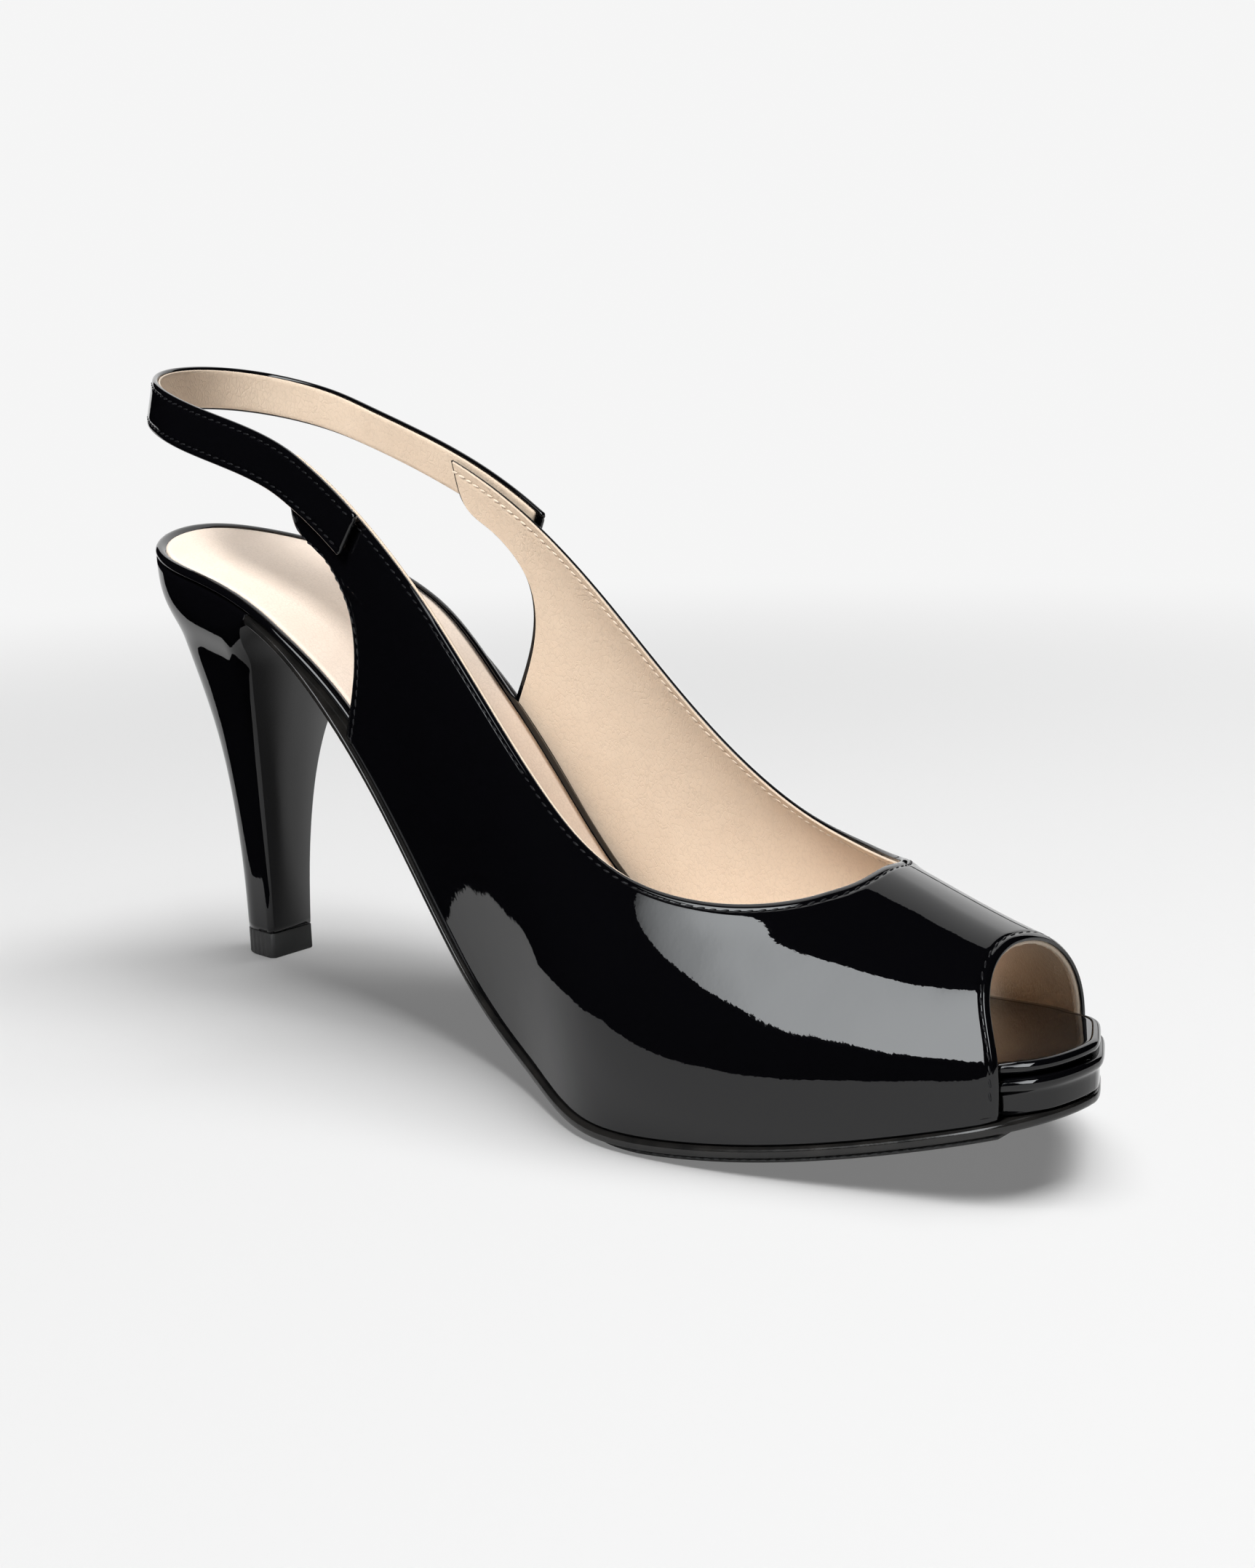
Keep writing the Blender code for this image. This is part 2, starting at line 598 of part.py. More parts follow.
build_tread(rubber, shoe)
build_outsole(sole_leather, shoe)
build_platform(patent, shoe)
build_insole(sock_leather, shoe)
build_upper(patent, shoe)
build_strap(patent, shoe)
build_heel(patent, rubber, shoe)
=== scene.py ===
import math

import bmesh
import bpy
import numpy as np
from mathutils import Matrix, Vector


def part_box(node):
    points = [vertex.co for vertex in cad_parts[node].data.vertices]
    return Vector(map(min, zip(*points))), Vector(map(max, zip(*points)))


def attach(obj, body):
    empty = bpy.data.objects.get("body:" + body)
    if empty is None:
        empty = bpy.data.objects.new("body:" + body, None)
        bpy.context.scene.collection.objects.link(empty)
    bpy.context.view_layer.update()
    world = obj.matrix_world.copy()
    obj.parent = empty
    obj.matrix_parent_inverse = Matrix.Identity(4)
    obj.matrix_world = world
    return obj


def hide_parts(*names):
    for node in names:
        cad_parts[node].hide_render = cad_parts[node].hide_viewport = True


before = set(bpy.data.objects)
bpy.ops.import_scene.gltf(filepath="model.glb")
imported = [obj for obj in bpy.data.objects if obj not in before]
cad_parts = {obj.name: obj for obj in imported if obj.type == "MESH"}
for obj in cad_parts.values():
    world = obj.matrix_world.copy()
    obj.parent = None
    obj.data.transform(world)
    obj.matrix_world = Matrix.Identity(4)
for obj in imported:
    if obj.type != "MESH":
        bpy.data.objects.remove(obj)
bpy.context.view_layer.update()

# Outsole: a thin sheet of black-stained sole leather, cut to the outline of the last and bent to its toe
# spring and arch. Its edge is rounded off and waxed, and it is cemented under the platform and the upper.
SHOE_LENGTH = 231.0
SHOE_AXIS_Y = -0.9
OUTSOLE_THICKNESS = 2.0
OUTSOLE_END = 187.7
SEAT_ROUND_START = 205.0
SEAT_ROUNDNESS = 2.4
TOE_TIP_CUT = 0.03
# Shapes are worked out in millimetres: "back" is measured from the toe tip, "across" is positive on the
# lateral side.
MM = 0.001
SOLE_COLUMNS = ("back", "medial", "lateral", "underside")
SOLE = (
    (0.0, 0.0, 0.0, 13.8),
    (3.0, 10.0, 7.8, 13.0),
    (10.0, 17.1, 18.8, 11.1),
    (22.0, 22.8, 27.3, 7.8),
    (40.0, 30.2, 34.0, 3.9),
    (62.0, 37.3, 39.6, 1.3),
    (80.0, 38.0, 40.2, 1.0),
    (100.0, 30.0, 37.5, 4.1),
    (125.0, 22.2, 34.6, 15.9),
    (150.0, 20.2, 33.0, 46.4),
    (180.0, 21.4, 28.8, 77.0),
    (210.0, 23.2, 24.8, 88.6),
)
toe_tip = np.array((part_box("outsole")[1].x / MM, SHOE_AXIS_Y, 0.0))


def column(table, names, name):
    """One column of a table as an array."""
    return np.array([row[names.index(name)] for row in table], float)


def smooth_curve(places, values):
    """A natural cubic curve through the values of a table's column."""
    steps = np.diff(places)
    count = len(places)
    system = np.eye(count)
    right = np.zeros(count)
    for i in range(1, count - 1):
        system[i, i - 1:i + 2] = steps[i - 1], 2 * (steps[i - 1] + steps[i]), steps[i]
        right[i] = 6 * ((values[i + 1] - values[i]) / steps[i] - (values[i] - values[i - 1]) / steps[i - 1])
    bend = np.linalg.solve(system, right)

    def curve(at):
        at = np.asarray(at, float)
        i = np.clip(np.searchsorted(places, at) - 1, 0, count - 2)
        near = (places[i + 1] - at) / steps[i]
        far = (at - places[i]) / steps[i]
        sag = ((near ** 3 - near) * bend[i] + (far ** 3 - far) * bend[i + 1]) * steps[i] ** 2 / 6
        return near * values[i] + far * values[i + 1] + sag

    return curve


def table_curve(table, names, places, values):
    """A smooth curve of one column of a table over another."""
    return smooth_curve(column(table, names, places), column(table, names, values))


def ease(value, start, end):
    """0 before start, 1 after end, smooth between."""
    share = np.clip((np.asarray(value, float) - start) / (end - start), 0.0, 1.0)
    return share * share * (3 - 2 * share)


section_root = np.sqrt(column(SOLE, SOLE_COLUMNS, "back") / SHOE_LENGTH)
medial_width = smooth_curve(section_root, column(SOLE, SOLE_COLUMNS, "medial"))
lateral_width = smooth_curve(section_root, column(SOLE, SOLE_COLUMNS, "lateral"))
underside = table_curve(SOLE, SOLE_COLUMNS, "back", "underside")


def sole_width(back, side):
    """Half-width of the sole, from its rows against the root of the distance, with a round heel end."""
    root = np.sqrt(np.clip(back, 0.0, SHOE_LENGTH) / SHOE_LENGTH)
    width = np.where(side < 0, medial_width(root), lateral_width(root))
    turn = np.clip((back - SEAT_ROUND_START) / (SHOE_LENGTH - SEAT_ROUND_START), 0.0, 1.0)
    return width * np.sqrt(1.0 - turn ** SEAT_ROUNDNESS)


def outsole_top(back):
    return underside(back) + OUTSOLE_THICKNESS


def sole_stations(rear, round_rear=False):
    """Stations about 2 mm apart that crowd together where the outline turns, at the toe and a round rear."""
    toe_run, toe_count = 26.0, 40
    heel_run, heel_count = 24.0, 36
    step = 2.0
    toe = TOE_TIP_CUT + toe_run * np.linspace(0.0, 1.0, toe_count) ** 2
    rear_start = rear - heel_run if round_rear else rear
    middle = np.linspace(toe[-1], rear_start, int((rear_start - toe[-1]) / step) + 1)
    end = rear - heel_run * np.linspace(1.0, 0.0, heel_count) ** 2 if round_rear else middle[-1:]
    return np.concatenate([toe, middle[1:], end[1:]])


def plan_loop(back, medial, lateral):
    """A loop of plan points: forward along the medial side and back along the lateral one."""
    return np.concatenate([np.stack([-back, -medial], axis=1)[::-1], np.stack([-back, lateral], axis=1)])


def sole_outline(stations, inset):
    """The sole's outline at the stations, drawn in by one inset or by a medial and a lateral one."""
    loop = plan_loop(stations, sole_width(stations, -1), sole_width(stations, 1))
    along = np.gradient(loop, axis=0)
    along /= np.linalg.norm(along, axis=1)[:, None]
    outward = np.stack([along[:, 1], -along[:, 0]], axis=1)
    medial_inset, lateral_inset = np.broadcast_to(inset, (2, len(stations)))
    return loop - outward * np.concatenate([medial_inset[::-1], lateral_inset])[:, None]


def stacked_loops(stations, levels, floor):
    """Loops of the sole's outline, level over level: each level is an inset and a height over the floor."""
    loops = []
    for inset, rise in levels:
        plan = sole_outline(stations, inset)
        level = np.broadcast_to(rise, (len(stations),))
        loops.append(np.column_stack([plan, floor(-plan[:, 0]) + np.concatenate([level[::-1], level])]))
    return np.array(loops)


def loop_faces(levels, count):
    """Side faces between stacked loops and a ladder of faces over each end."""
    level, i = np.meshgrid(np.arange(levels - 1), np.arange(count), indexing="ij")
    j = (i + 1) % count
    low, high = level * count, (level + 1) * count
    sides = np.stack([low + i, low + j, high + j, high + i], axis=-1).reshape(-1, 4)
    step = np.arange(count // 2 - 1)
    ladder = np.stack([step, step + 1, count - 2 - step, count - 1 - step], axis=-1)
    return np.concatenate([sides, ladder, ladder + (levels - 1) * count]).tolist()


def put_on_shoe(name, mesh, node):
    """The mesh as a piece of the shoe that stands for a CAD node."""
    piece = bpy.data.objects.new(name, mesh)
    bpy.context.collection.objects.link(piece)
    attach(piece, "root")
    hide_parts(node)
    return piece


def shoe_piece(name, points, faces, material, slot, node):
    """One closed piece from points in millimetres, set in the shoe's frame."""
    mesh = bpy.data.meshes.new(name)
    mesh.from_pydata(((np.reshape(points, (-1, 3)) + toe_tip) * MM).tolist(), [], faces)
    shape = bmesh.new()
    shape.from_mesh(mesh)
    bmesh.ops.recalc_face_normals(shape, faces=shape.faces)
    shape.to_mesh(mesh)
    shape.free()
    mesh.shade_smooth()
    mesh.materials.append(material)
    return put_on_shoe(name, mesh, node)


def stacked_piece(name, loops, material, slot, node):
    """A closed piece whose skin runs over stacked loops and both of its ends."""
    loops = np.array(loops)
    return shoe_piece(name, loops, loop_faces(*loops.shape[:2]), material, slot, node)


def feed(node, inputs):
    """Give a node its inputs: values are set, and sockets of other nodes are linked."""
    for name, value in inputs.items():
        if isinstance(value, bpy.types.NodeSocket):
            node.id_data.links.new(value, node.inputs[name])
        else:
            node.inputs[name].default_value = value


def add_node(tree, kind, inputs=None, **settings):
    """A new node with its settings and its inputs."""
    node = tree.nodes.new(kind)
    for name, value in settings.items():
        setattr(node, name, value)
    feed(node, inputs or {})
    return node


def plain_material(name, inputs):
    """A material with constant inputs on its shader, the shader itself and its node tree."""
    material = bpy.data.materials.new(name)
    material.use_nodes = True
    shader = material.node_tree.nodes["Principled BSDF"]
    feed(shader, inputs)
    return material, shader, material.node_tree


def grain(tree, cell_mm, detail, stretch=(1.0, 1.0, 1.0)):
    """A noise over the piece's own place with cells of the given size, drawn out along an axis by stretch."""
    place = add_node(tree, "ShaderNodeTexCoord")
    mapping = add_node(tree, "ShaderNodeMapping", {"Vector": place.outputs["Object"], "Scale": stretch})
    noise = add_node(tree, "ShaderNodeTexNoise", {
        "Vector": mapping.outputs["Vector"], "Scale": 1.0 / (cell_mm * MM), "Detail": detail})
    return noise.outputs[0]


def bump(tree, height, depth_mm, under=None, strength=1.0, invert=False):
    """A bump of the given depth over another bump, as a normal; its strength is a value or a socket."""
    node = add_node(tree, "ShaderNodeBump", {
        "Strength": strength, "Distance": depth_mm * MM, "Height": height}, invert=invert)
    if under is not None:
        feed(node, {"Normal": under})
    return node.outputs["Normal"]


def vary(tree, factor, low, high):
    """Two colours, or two levels of grey, mixed over a noise's usual range."""
    usual_range = (0.32, 0.68)
    ramp = add_node(tree, "ShaderNodeValToRGB", {"Fac": factor})
    for end, place, colour in zip(ramp.color_ramp.elements, usual_range, (low, high)):
        end.position = place
        end.color = (*colour, 1.0)
    return ramp.outputs["Color"]


sole_leather, shader, tree = plain_material("sole_leather", {"Specular IOR Level": 0.45})
stain = vary(tree, grain(tree, cell_mm=6.0, detail=5.0), (0.006, 0.006, 0.006), (0.014, 0.013, 0.012))
polish = vary(tree, grain(tree, cell_mm=3.0, detail=4.0), (0.13, 0.13, 0.13), (0.24, 0.24, 0.24))
fibres = grain(tree, cell_mm=0.5, detail=4.0, stretch=(0.35, 1.0, 1.0))
feed(shader, {"Base Color": stain, "Roughness": polish, "Normal": bump(tree, fibres, depth_mm=0.02)})

rounded_edge = ((1.2, 0.0), (0.6, 0.05), (0.2, 0.25), (0.0, 0.6), (0.0, 1.35), (0.12, 1.7), (0.4, 1.93),
                (0.9, OUTSOLE_THICKNESS))
loops = stacked_loops(sole_stations(OUTSOLE_END), rounded_edge, underside)
stacked_piece("outsole_leather", loops, sole_leather, "sole_leather", "outsole")

# Forefoot tread: a thin half sole of black rubber glued under the outsole, with fine cross ribs. It is ground
# flat where the shoe stands on it, so that its edge thins out to either side of the ball.
TREAD_FRONT, TREAD_REAR = 9.0, 93.0
TREAD_TIP, TREAD_ROUND = 8.0, 26.0
TREAD_INSET = 1.2
TREAD_PROUD = 1.0
# A round end keeps this share of its width.
NARROWEST = 0.06
RIB_PITCH, RIB_DEPTH = 1.6, 0.15
# The period of a wave texture whose scale is 1.
WAVE_PERIOD = 0.314
# Solids that lie on each other in the CAD model keep this distance.
CLEARANCE = 0.3

black_rubber, shader, tree = plain_material("black_rubber", {
    "Base Color": (0.018, 0.018, 0.018, 1.0), "Roughness": 0.55, "Specular IOR Level": 0.4})
place = add_node(tree, "ShaderNodeTexCoord")
ribs = add_node(tree, "ShaderNodeTexWave", {
    "Vector": place.outputs["Object"], "Scale": WAVE_PERIOD / (RIB_PITCH * MM), "Distortion": 0.0})
ribbed = bump(tree, ribs.outputs["Fac"], RIB_DEPTH)
feed(shader, {"Normal": bump(tree, grain(tree, cell_mm=0.4, detail=3.0), depth_mm=0.02, under=ribbed)})

stations = np.concatenate([TREAD_FRONT + TREAD_TIP * np.linspace(0.0, 1.0, 12)[:-1] ** 2,
                           np.linspace(TREAD_FRONT + TREAD_TIP, TREAD_REAR - TREAD_ROUND, 30)[:-1],
                           TREAD_REAR - TREAD_ROUND * np.linspace(1.0, 0.0, 30) ** 2])
rear_turn = np.clip(1.0 - (TREAD_REAR - stations) / TREAD_ROUND, 0.0, 1.0)
pull = np.maximum(np.sqrt(1.0 - rear_turn ** 3), NARROWEST)
width = np.stack([sole_width(stations, -1), sole_width(stations, 1)])
ground_edge = ((1.0, 1.0), (0.45, 0.97), (0.12, 0.84), (0.0, 0.6), (0.0, 0.0))
loops = []
for drawn_in, drop in ground_edge:
    plan = plan_loop(stations, *((width - TREAD_INSET - drawn_in) * pull))
    seat = underside(-plan[:, 0]) - CLEARANCE
    bottom = np.maximum(underside(-plan[:, 0]) - TREAD_PROUD, 0.0)
    loops.append(np.column_stack([plan, seat + (bottom - seat) * drop]))
stacked_piece("tread_rubber", loops, black_rubber, "black_rubber", "forefoot_tread")

# Platform: a low board wedge wrapped in the upper's black patent leather. Its face stands upright between a
# groove over the outsole and a soft rolled ridge, and shows in the open toe; behind that the upper hides it.
PLATFORM_END = 132.0
PLATFORM_COLUMNS = ("back", "thickness")
PLATFORM = ((0.0, 6.2), (3.0, 6.4), (10.0, 6.9), (22.0, 7.5), (40.0, 7.9), (62.0, 8.1),
            (80.0, 8.0), (100.0, 5.9), (125.0, 1.8), (150.0, 0.0), (180.0, 0.0), (210.0, 0.0))
# Where the foot of the upper begins on the medial and on the lateral side.
UPPER_START = (9.2, 13.4)
TUCK_RUN = 7.6
QUARTER_FOOT = 160.0
SEAT_EASE = (QUARTER_FOOT - 2.0, QUARTER_FOOT + 22.0)
platform_depth = table_curve(PLATFORM, PLATFORM_COLUMNS, "back", "thickness")


def platform_thickness(back):
    return np.maximum(platform_depth(back), 0.0)


def inner_inset(stations, at_toe, inside, at_seat):
    """How far a piece keeps inside the sole's edge, on both sides: at the toe, in the upper, on the seat."""
    upper_start = np.array(UPPER_START)[:, None]
    toe = 1.0 - ease(stations, upper_start - TUCK_RUN, upper_start)
    seat = ease(stations, *SEAT_EASE)
    return inside + (at_toe - inside) * toe + (at_seat - inside) * seat


# Patent is black leather under a clear glossy film, which follows the soft waves and fine grain of the hide.
black_patent, shader, tree = plain_material("black_patent", {
    "Base Color": (0.0015, 0.0015, 0.002, 1.0), "Roughness": 0.5, "Specular IOR Level": 0.0,
    "Coat Weight": 1.0, "Coat Roughness": 0.02, "Coat IOR": 1.5})
waves = bump(tree, grain(tree, cell_mm=9.0, detail=1.0), depth_mm=0.045)
film = bump(tree, grain(tree, cell_mm=0.9, detail=2.0), depth_mm=0.004, under=waves)
feed(shader, {"Coat Normal": film, "Normal": film})

stations = sole_stations(PLATFORM_END)
depth = platform_thickness(stations) - CLEARANCE
face = inner_inset(stations, at_toe=0.0, inside=3.3, at_seat=3.3)
groove = [(1.8, 0.0), (0.9, 0.005), (0.32, 0.015), (0.20, 0.03)]
plain_face = [(0.18, 0.06), (0.18, 0.18), (0.18, 0.32), (0.17, 0.45), (0.13, 0.54)]
ridge = [(0.02, 0.60), (-0.24, 0.645), (-0.44, 0.70), (-0.52, 0.77), (-0.50, 0.84), (-0.38, 0.90),
         (-0.08, 0.96), (0.4, 0.99), (1.4, 1.0)]
levels = [(face + drawn_in, CLEARANCE + depth * up) for drawn_in, up in groove + plain_face + ridge]
loops = stacked_loops(stations, levels, outsole_top)
stacked_piece("platform_cover", loops, black_patent, "black_patent", "platform")

# Insole: a shaped board from toe to heel seat, wrapped in black patent that is rolled round its edge. A sock
# of thin, soft, pale leather, a little padded, is glued on inside the rim; its round front end stops short of
# the open toe.
INSOLE_THICKNESS = 2.4
RIM_WIDTH, RIM_CREST = 3.4, 1.5
SOCK_THICKNESS = 0.4
SOCK_PADDING, SOCK_PROUD, SOCK_SINK = 0.5, 0.25, 0.8
SOCK_FRONT, SOCK_ROUND = 28.0, 14.0
SOCK_ROUNDNESS = 2.2
BED_START, BED_FULL = SOCK_FRONT - 16.0, SOCK_FRONT - 6.0
TOE_COVER_END, SINK_FULL = SOCK_FRONT + 16.0, SOCK_FRONT + 28.0
TOE_COVER_DROP, TOE_COVER_DOME = 0.12, 0.2


def insole_base(back):
    return outsole_top(back) + platform_thickness(back) + CLEARANCE


stations = sole_stations(SHOE_LENGTH - TOE_TIP_CUT, round_rear=True)
edge = inner_inset(stations, at_toe=0.2, inside=3.2, at_seat=0.4)
rolled_rim = ((1.7, 0.0), (0.85, 0.05), (0.36, 0.18), (0.10, 0.33), (0.0, 0.50), (0.07, 0.66), (0.30, 0.82),
              (0.70, 0.94), (1.1, 1.0), (RIM_CREST, 0.97), (1.9, 0.89), (2.3, 0.77), (2.7, 0.62),
              (RIM_WIDTH, 0.4))
bed = ease(stations, BED_START, BED_FULL)
levels = [(edge + min(drawn_in, RIM_CREST) + max(drawn_in - RIM_CREST, 0.0) * bed, up * INSOLE_THICKNESS)
          for drawn_in, up in rolled_rim]
loops = stacked_loops(stations, levels, insole_base)
stacked_piece("insole_rim", loops, black_patent, "black_patent", "insole")


def grid_faces(rows, columns):
    """Faces over a grid of points."""
    row, place = np.meshgrid(np.arange(rows - 1), np.arange(columns - 1), indexing="ij")
    first = row * columns + place
    return np.stack([first, first + 1, first + columns + 1, first + columns], axis=-1).reshape(-1, 4)


def wall_solid(outer, inner, roundness, rings=5):
    """A wall between two grids of points, closed round its rim by a rounded edge."""
    rows, columns = outer.shape[:2]
    sheet = rows * columns
    rim_row = np.concatenate([np.zeros(columns, int), np.arange(1, rows), np.full(columns - 1, rows - 1),
                              np.arange(rows - 2, 0, -1)])
    rim_column = np.concatenate([np.arange(columns), np.full(rows - 1, columns - 1),
                                 np.arange(columns - 2, -1, -1), np.zeros(rows - 2, int)])
    front, rear = outer[rim_row, rim_column], inner[rim_row, rim_column]
    half = 0.5 * (front - rear)
    away = np.cross(np.roll(front, -1, axis=0) - np.roll(front, 1, axis=0), half)
    away /= np.linalg.norm(away, axis=1)[:, None]
    middle = columns // 2
    away *= np.sign(np.dot(away[middle], outer[0, middle] - outer[1, middle]))
    bulge = away * (np.linalg.norm(half, axis=1) * np.broadcast_to(roundness, rim_row.shape))[:, None]
    turns = [math.pi * (k + 1) / (rings + 1) for k in range(rings)]
    edge_rings = [0.5 * (front + rear) + half * math.cos(turn) + bulge * math.sin(turn) for turn in turns]
    points = np.concatenate([outer.reshape(-1, 3), inner.reshape(-1, 3)] + edge_rings)

    count = len(rim_row)
    front_index = rim_row * columns + rim_column
    ring_strips = [2 * sheet + k * count + np.arange(count) for k in range(rings)]
    strips = [front_index] + ring_strips + [front_index + sheet]
    faces = [grid_faces(rows, columns), grid_faces(rows, columns) + sheet]
    for one, other in zip(strips[:-1], strips[1:]):
        faces.append(np.stack([one, np.roll(one, -1), np.roll(other, -1), other], axis=1))
    return points, np.concatenate(faces).tolist()


def walled_piece(name, outer, inner, roundness, material, slot, node, rings=5):
    """A piece that is one wall between two grids of points."""
    return shoe_piece(name, *wall_solid(outer, inner, roundness, rings), material, slot, node)


def soft_leather(name, dark, light, roughness, cell_mm, depth_mm, stretch):
    """Pale leather with a fine creased grain: a net of thin creases with painted shade along them, and a
    little unevenness of colour.
    """
    wander_share, swirl_share, pore_share = 1.6, 0.6, 0.6
    crease_width, painted_crease_shade, least_depth = 0.13, 0.955, 0.4
    material, shader, tree = plain_material(name, {"Roughness": roughness, "Specular IOR Level": 0.3})
    place = add_node(tree, "ShaderNodeTexCoord")
    mapping = add_node(tree, "ShaderNodeMapping", {"Vector": place.outputs["Object"], "Scale": stretch})
    swirl = add_node(tree, "ShaderNodeTexNoise", {
        "Vector": mapping.outputs["Vector"], "Scale": swirl_share / (cell_mm * MM)})
    wander = add_node(tree, "ShaderNodeVectorMath", {
        0: swirl.outputs["Color"], 1: (wander_share * cell_mm * MM,) * 3, 2: mapping.outputs["Vector"]},
        operation="MULTIPLY_ADD")
    folds = add_node(tree, "ShaderNodeTexVoronoi", {
        "Vector": wander.outputs["Vector"], "Scale": 1.0 / (cell_mm * MM)}, feature="DISTANCE_TO_EDGE")
    crease = add_node(tree, "ShaderNodeMapRange", {
        "Value": folds.outputs["Distance"], "From Max": crease_width}, interpolation_type="SMOOTHSTEP")
    patchy = add_node(tree, "ShaderNodeMapRange", {
        "Value": grain(tree, cell_mm=6.0, detail=2.0), "From Min": 0.35, "From Max": 0.65,
        "To Min": least_depth})
    creased = bump(tree, crease.outputs["Result"], depth_mm, strength=patchy.outputs["Result"])
    pores = bump(tree, grain(tree, cell_mm=0.4, detail=3.0), pore_share * depth_mm, creased)
    colour = vary(tree, grain(tree, cell_mm=7.0, detail=6.0), dark, light)
    # Painted shade: the leather's colour is made a little darker in the creases.
    painted_crease_shadow = (*(painted_crease_shade * level for level in dark), 1.0)
    shaded = add_node(tree, "ShaderNodeMix", {
        "Factor": crease.outputs["Result"], "A": painted_crease_shadow, "B": colour}, data_type="RGBA")
    feed(shader, {"Base Color": shaded.outputs["Result"], "Normal": pores})
    return material, shader, tree


sock_leather = soft_leather("sock_leather", dark=(0.84, 0.71, 0.60), light=(0.89, 0.76, 0.65), roughness=0.62,
                            cell_mm=0.9, depth_mm=0.015, stretch=(1.0, 1.0, 1.0))[0]


def insole_sheet(name, stations, inset, narrowed, edge_height, padding, material, slot):
    """A thin sheet over the insole between two sides of its outline, a little domed across."""
    columns, full_dome_span, edge_roundness = 33, 30.0, 0.6
    plan = sole_outline(stations, inset)
    medial, lateral = plan[:len(stations)][::-1], plan[len(stations):]
    trim = 0.5 * (lateral - medial) * (1.0 - narrowed)[:, None]
    medial, lateral = medial + trim, lateral - trim
    share = np.linspace(0.0, 1.0, columns)[None, :, None]
    spread = medial[:, None] * (1.0 - share) + lateral[:, None] * share
    span = np.linalg.norm(lateral - medial, axis=1)
    fullness = padding * np.clip(span / full_dome_span, 0.0, 1.0)
    dome = fullness[:, None] * (1.0 - (2.0 * share[..., 0] - 1.0) ** 4)
    edge_height = np.broadcast_to(edge_height, (len(stations),))[:, None]
    top = np.dstack([spread, insole_base(-spread[..., 0]) + edge_height + dome])
    walled_piece(name, top, top - (0.0, 0.0, SOCK_THICKNESS), edge_roundness, material, slot, "insole")


toe_part = stations[stations < TOE_COVER_END]
insole_sheet("insole_toe_cover", toe_part, inner_inset(toe_part, at_toe=1.7, inside=3.3, at_seat=3.3),
             np.ones_like(toe_part), INSOLE_THICKNESS - TOE_COVER_DROP, TOE_COVER_DOME,
             black_patent, "black_patent")
sock_part = np.concatenate([SOCK_FRONT + SOCK_ROUND * np.linspace(0.0, 1.0, 24) ** 2,
                            stations[stations > SOCK_FRONT + SOCK_ROUND + 1.0]])
front_turn = np.clip(1.0 - (sock_part - SOCK_FRONT) / SOCK_ROUND, 0.0, 1.0)
sunk = SOCK_SINK * ease(sock_part, TOE_COVER_END, SINK_FULL)
insole_sheet("insole_sock", sock_part, inner_inset(sock_part, at_toe=2.6, inside=5.5, at_seat=2.7),
             np.maximum(np.sqrt(1.0 - front_turn ** SOCK_ROUNDNESS), NARROWEST),
             INSOLE_THICKNESS + SOCK_PROUD - sunk, SOCK_PADDING, sock_leather, "beige_leather")

# Upper: one piece of black patent leather, lasted over the form and open at the toe, the throat and the back.
# Its toe edge, topline and rear edges are folded in and stitched close to the fold; the foot is tucked in
# under the insole and cemented.
PATENT_WALL = 1.0
FEATHER_INSET = 1.0
WALL_HANDLE = 0.68
# A usual height of the wall, which turns its shares into lengths.
WALL_RUN = 45.0
SEAM_LINE = 1.5
FOLD_ROUNDNESS = 0.45
# Along the sides the fold lies this much under the topline of the last.
FOLD_DROP, FOLD_DROP_EASE = 0.35, (48.0, 75.0)
FLARE, FLARE_DEPTH = 0.42, 4.5
FLARE_RISE, FLARE_FADE = (41.0, 45.0), (60.0, 85.0)
END_REACH = 0.8
SIDE_COLUMNS, TOE_COLUMNS = 120, 44
EDGE_STEPS = np.arange(0.0, 3.6, 0.25)
MIDDLE_ROWS = 46
WALL_COLUMNS = ("back", "ridge", "shift", "medial_crown", "lateral_crown", "medial_bulge", "lateral_bulge")
WALL = (
    (0.0, 37.1, -0.5, 6.7, 10.2, -0.2, 2.0),
    (3.0, 37.7, -0.5, 6.7, 10.2, -0.2, 2.0),
    (10.0, 39.2, -0.5, 6.7, 10.2, -0.2, 2.0),
    (22.0, 41.9, -0.5, 6.8, 10.8, 1.7, 1.8),
    (40.0, 47.9, -0.8, 7.9, 10.4, 2.9, 2.6),
    (62.0, 54.3, -1.1, 15.6, 16.6, 4.2, 4.0),
    (80.0, 62.7, -0.9, 22.5, 22.5, 4.8, 4.8),
    (100.0, 77.5, -0.6, 27.5, 27.5, 5.0, 5.0),
    (125.0, 99.9, -0.3, 30.5, 30.5, 4.6, 4.6),
    (150.0, 119.9, 0.0, 28.0, 28.0, 3.0, 3.0),
    (180.0, 136.0, 0.3, 22.5, 22.5, 1.0, 1.0),
    (210.0, 146.7, 0.5, 20.0, 20.0, 0.0, 0.0),
)
TOPLINE_COLUMNS = ("back", "medial_down", "lateral_down")
TOPLINE = (
    (40.6, 0.0, 0.0),
    (42.0, 0.225, 0.180),
    (46.0, 0.341, 0.310),
    (52.0, 0.414, 0.400),
    (62.0, 0.466, 0.466),
    (78.0, 0.492, 0.530),
    (100.0, 0.485, 0.545),
    (130.0, 0.442, 0.505),
    (150.0, 0.466, 0.525),
    (172.0, 0.507, 0.567),
)
THROAT_ROW = 2
TOE_EDGE_COLUMNS = ("across_share", "back")
TOE_EDGE = ((-1.0, 8.7), (-0.8, 9.4), (-0.55, 12.4), (-0.3, 14.3), (0.0, 13.8), (0.4, 12.9), (0.7, 12.3),
            (1.0, 13.4))
QUARTER_END_COLUMNS = ("along", "back", "up")
QUARTER_END = ((0.0, 160.0, 0.0), (0.2, 156.8, 0.095), (0.4, 154.6, 0.190), (0.55, 154.8, 0.255),
               (0.7, 158.5, 0.298), (0.82, 165.5, 0.305), (0.92, 171.5, 0.320))
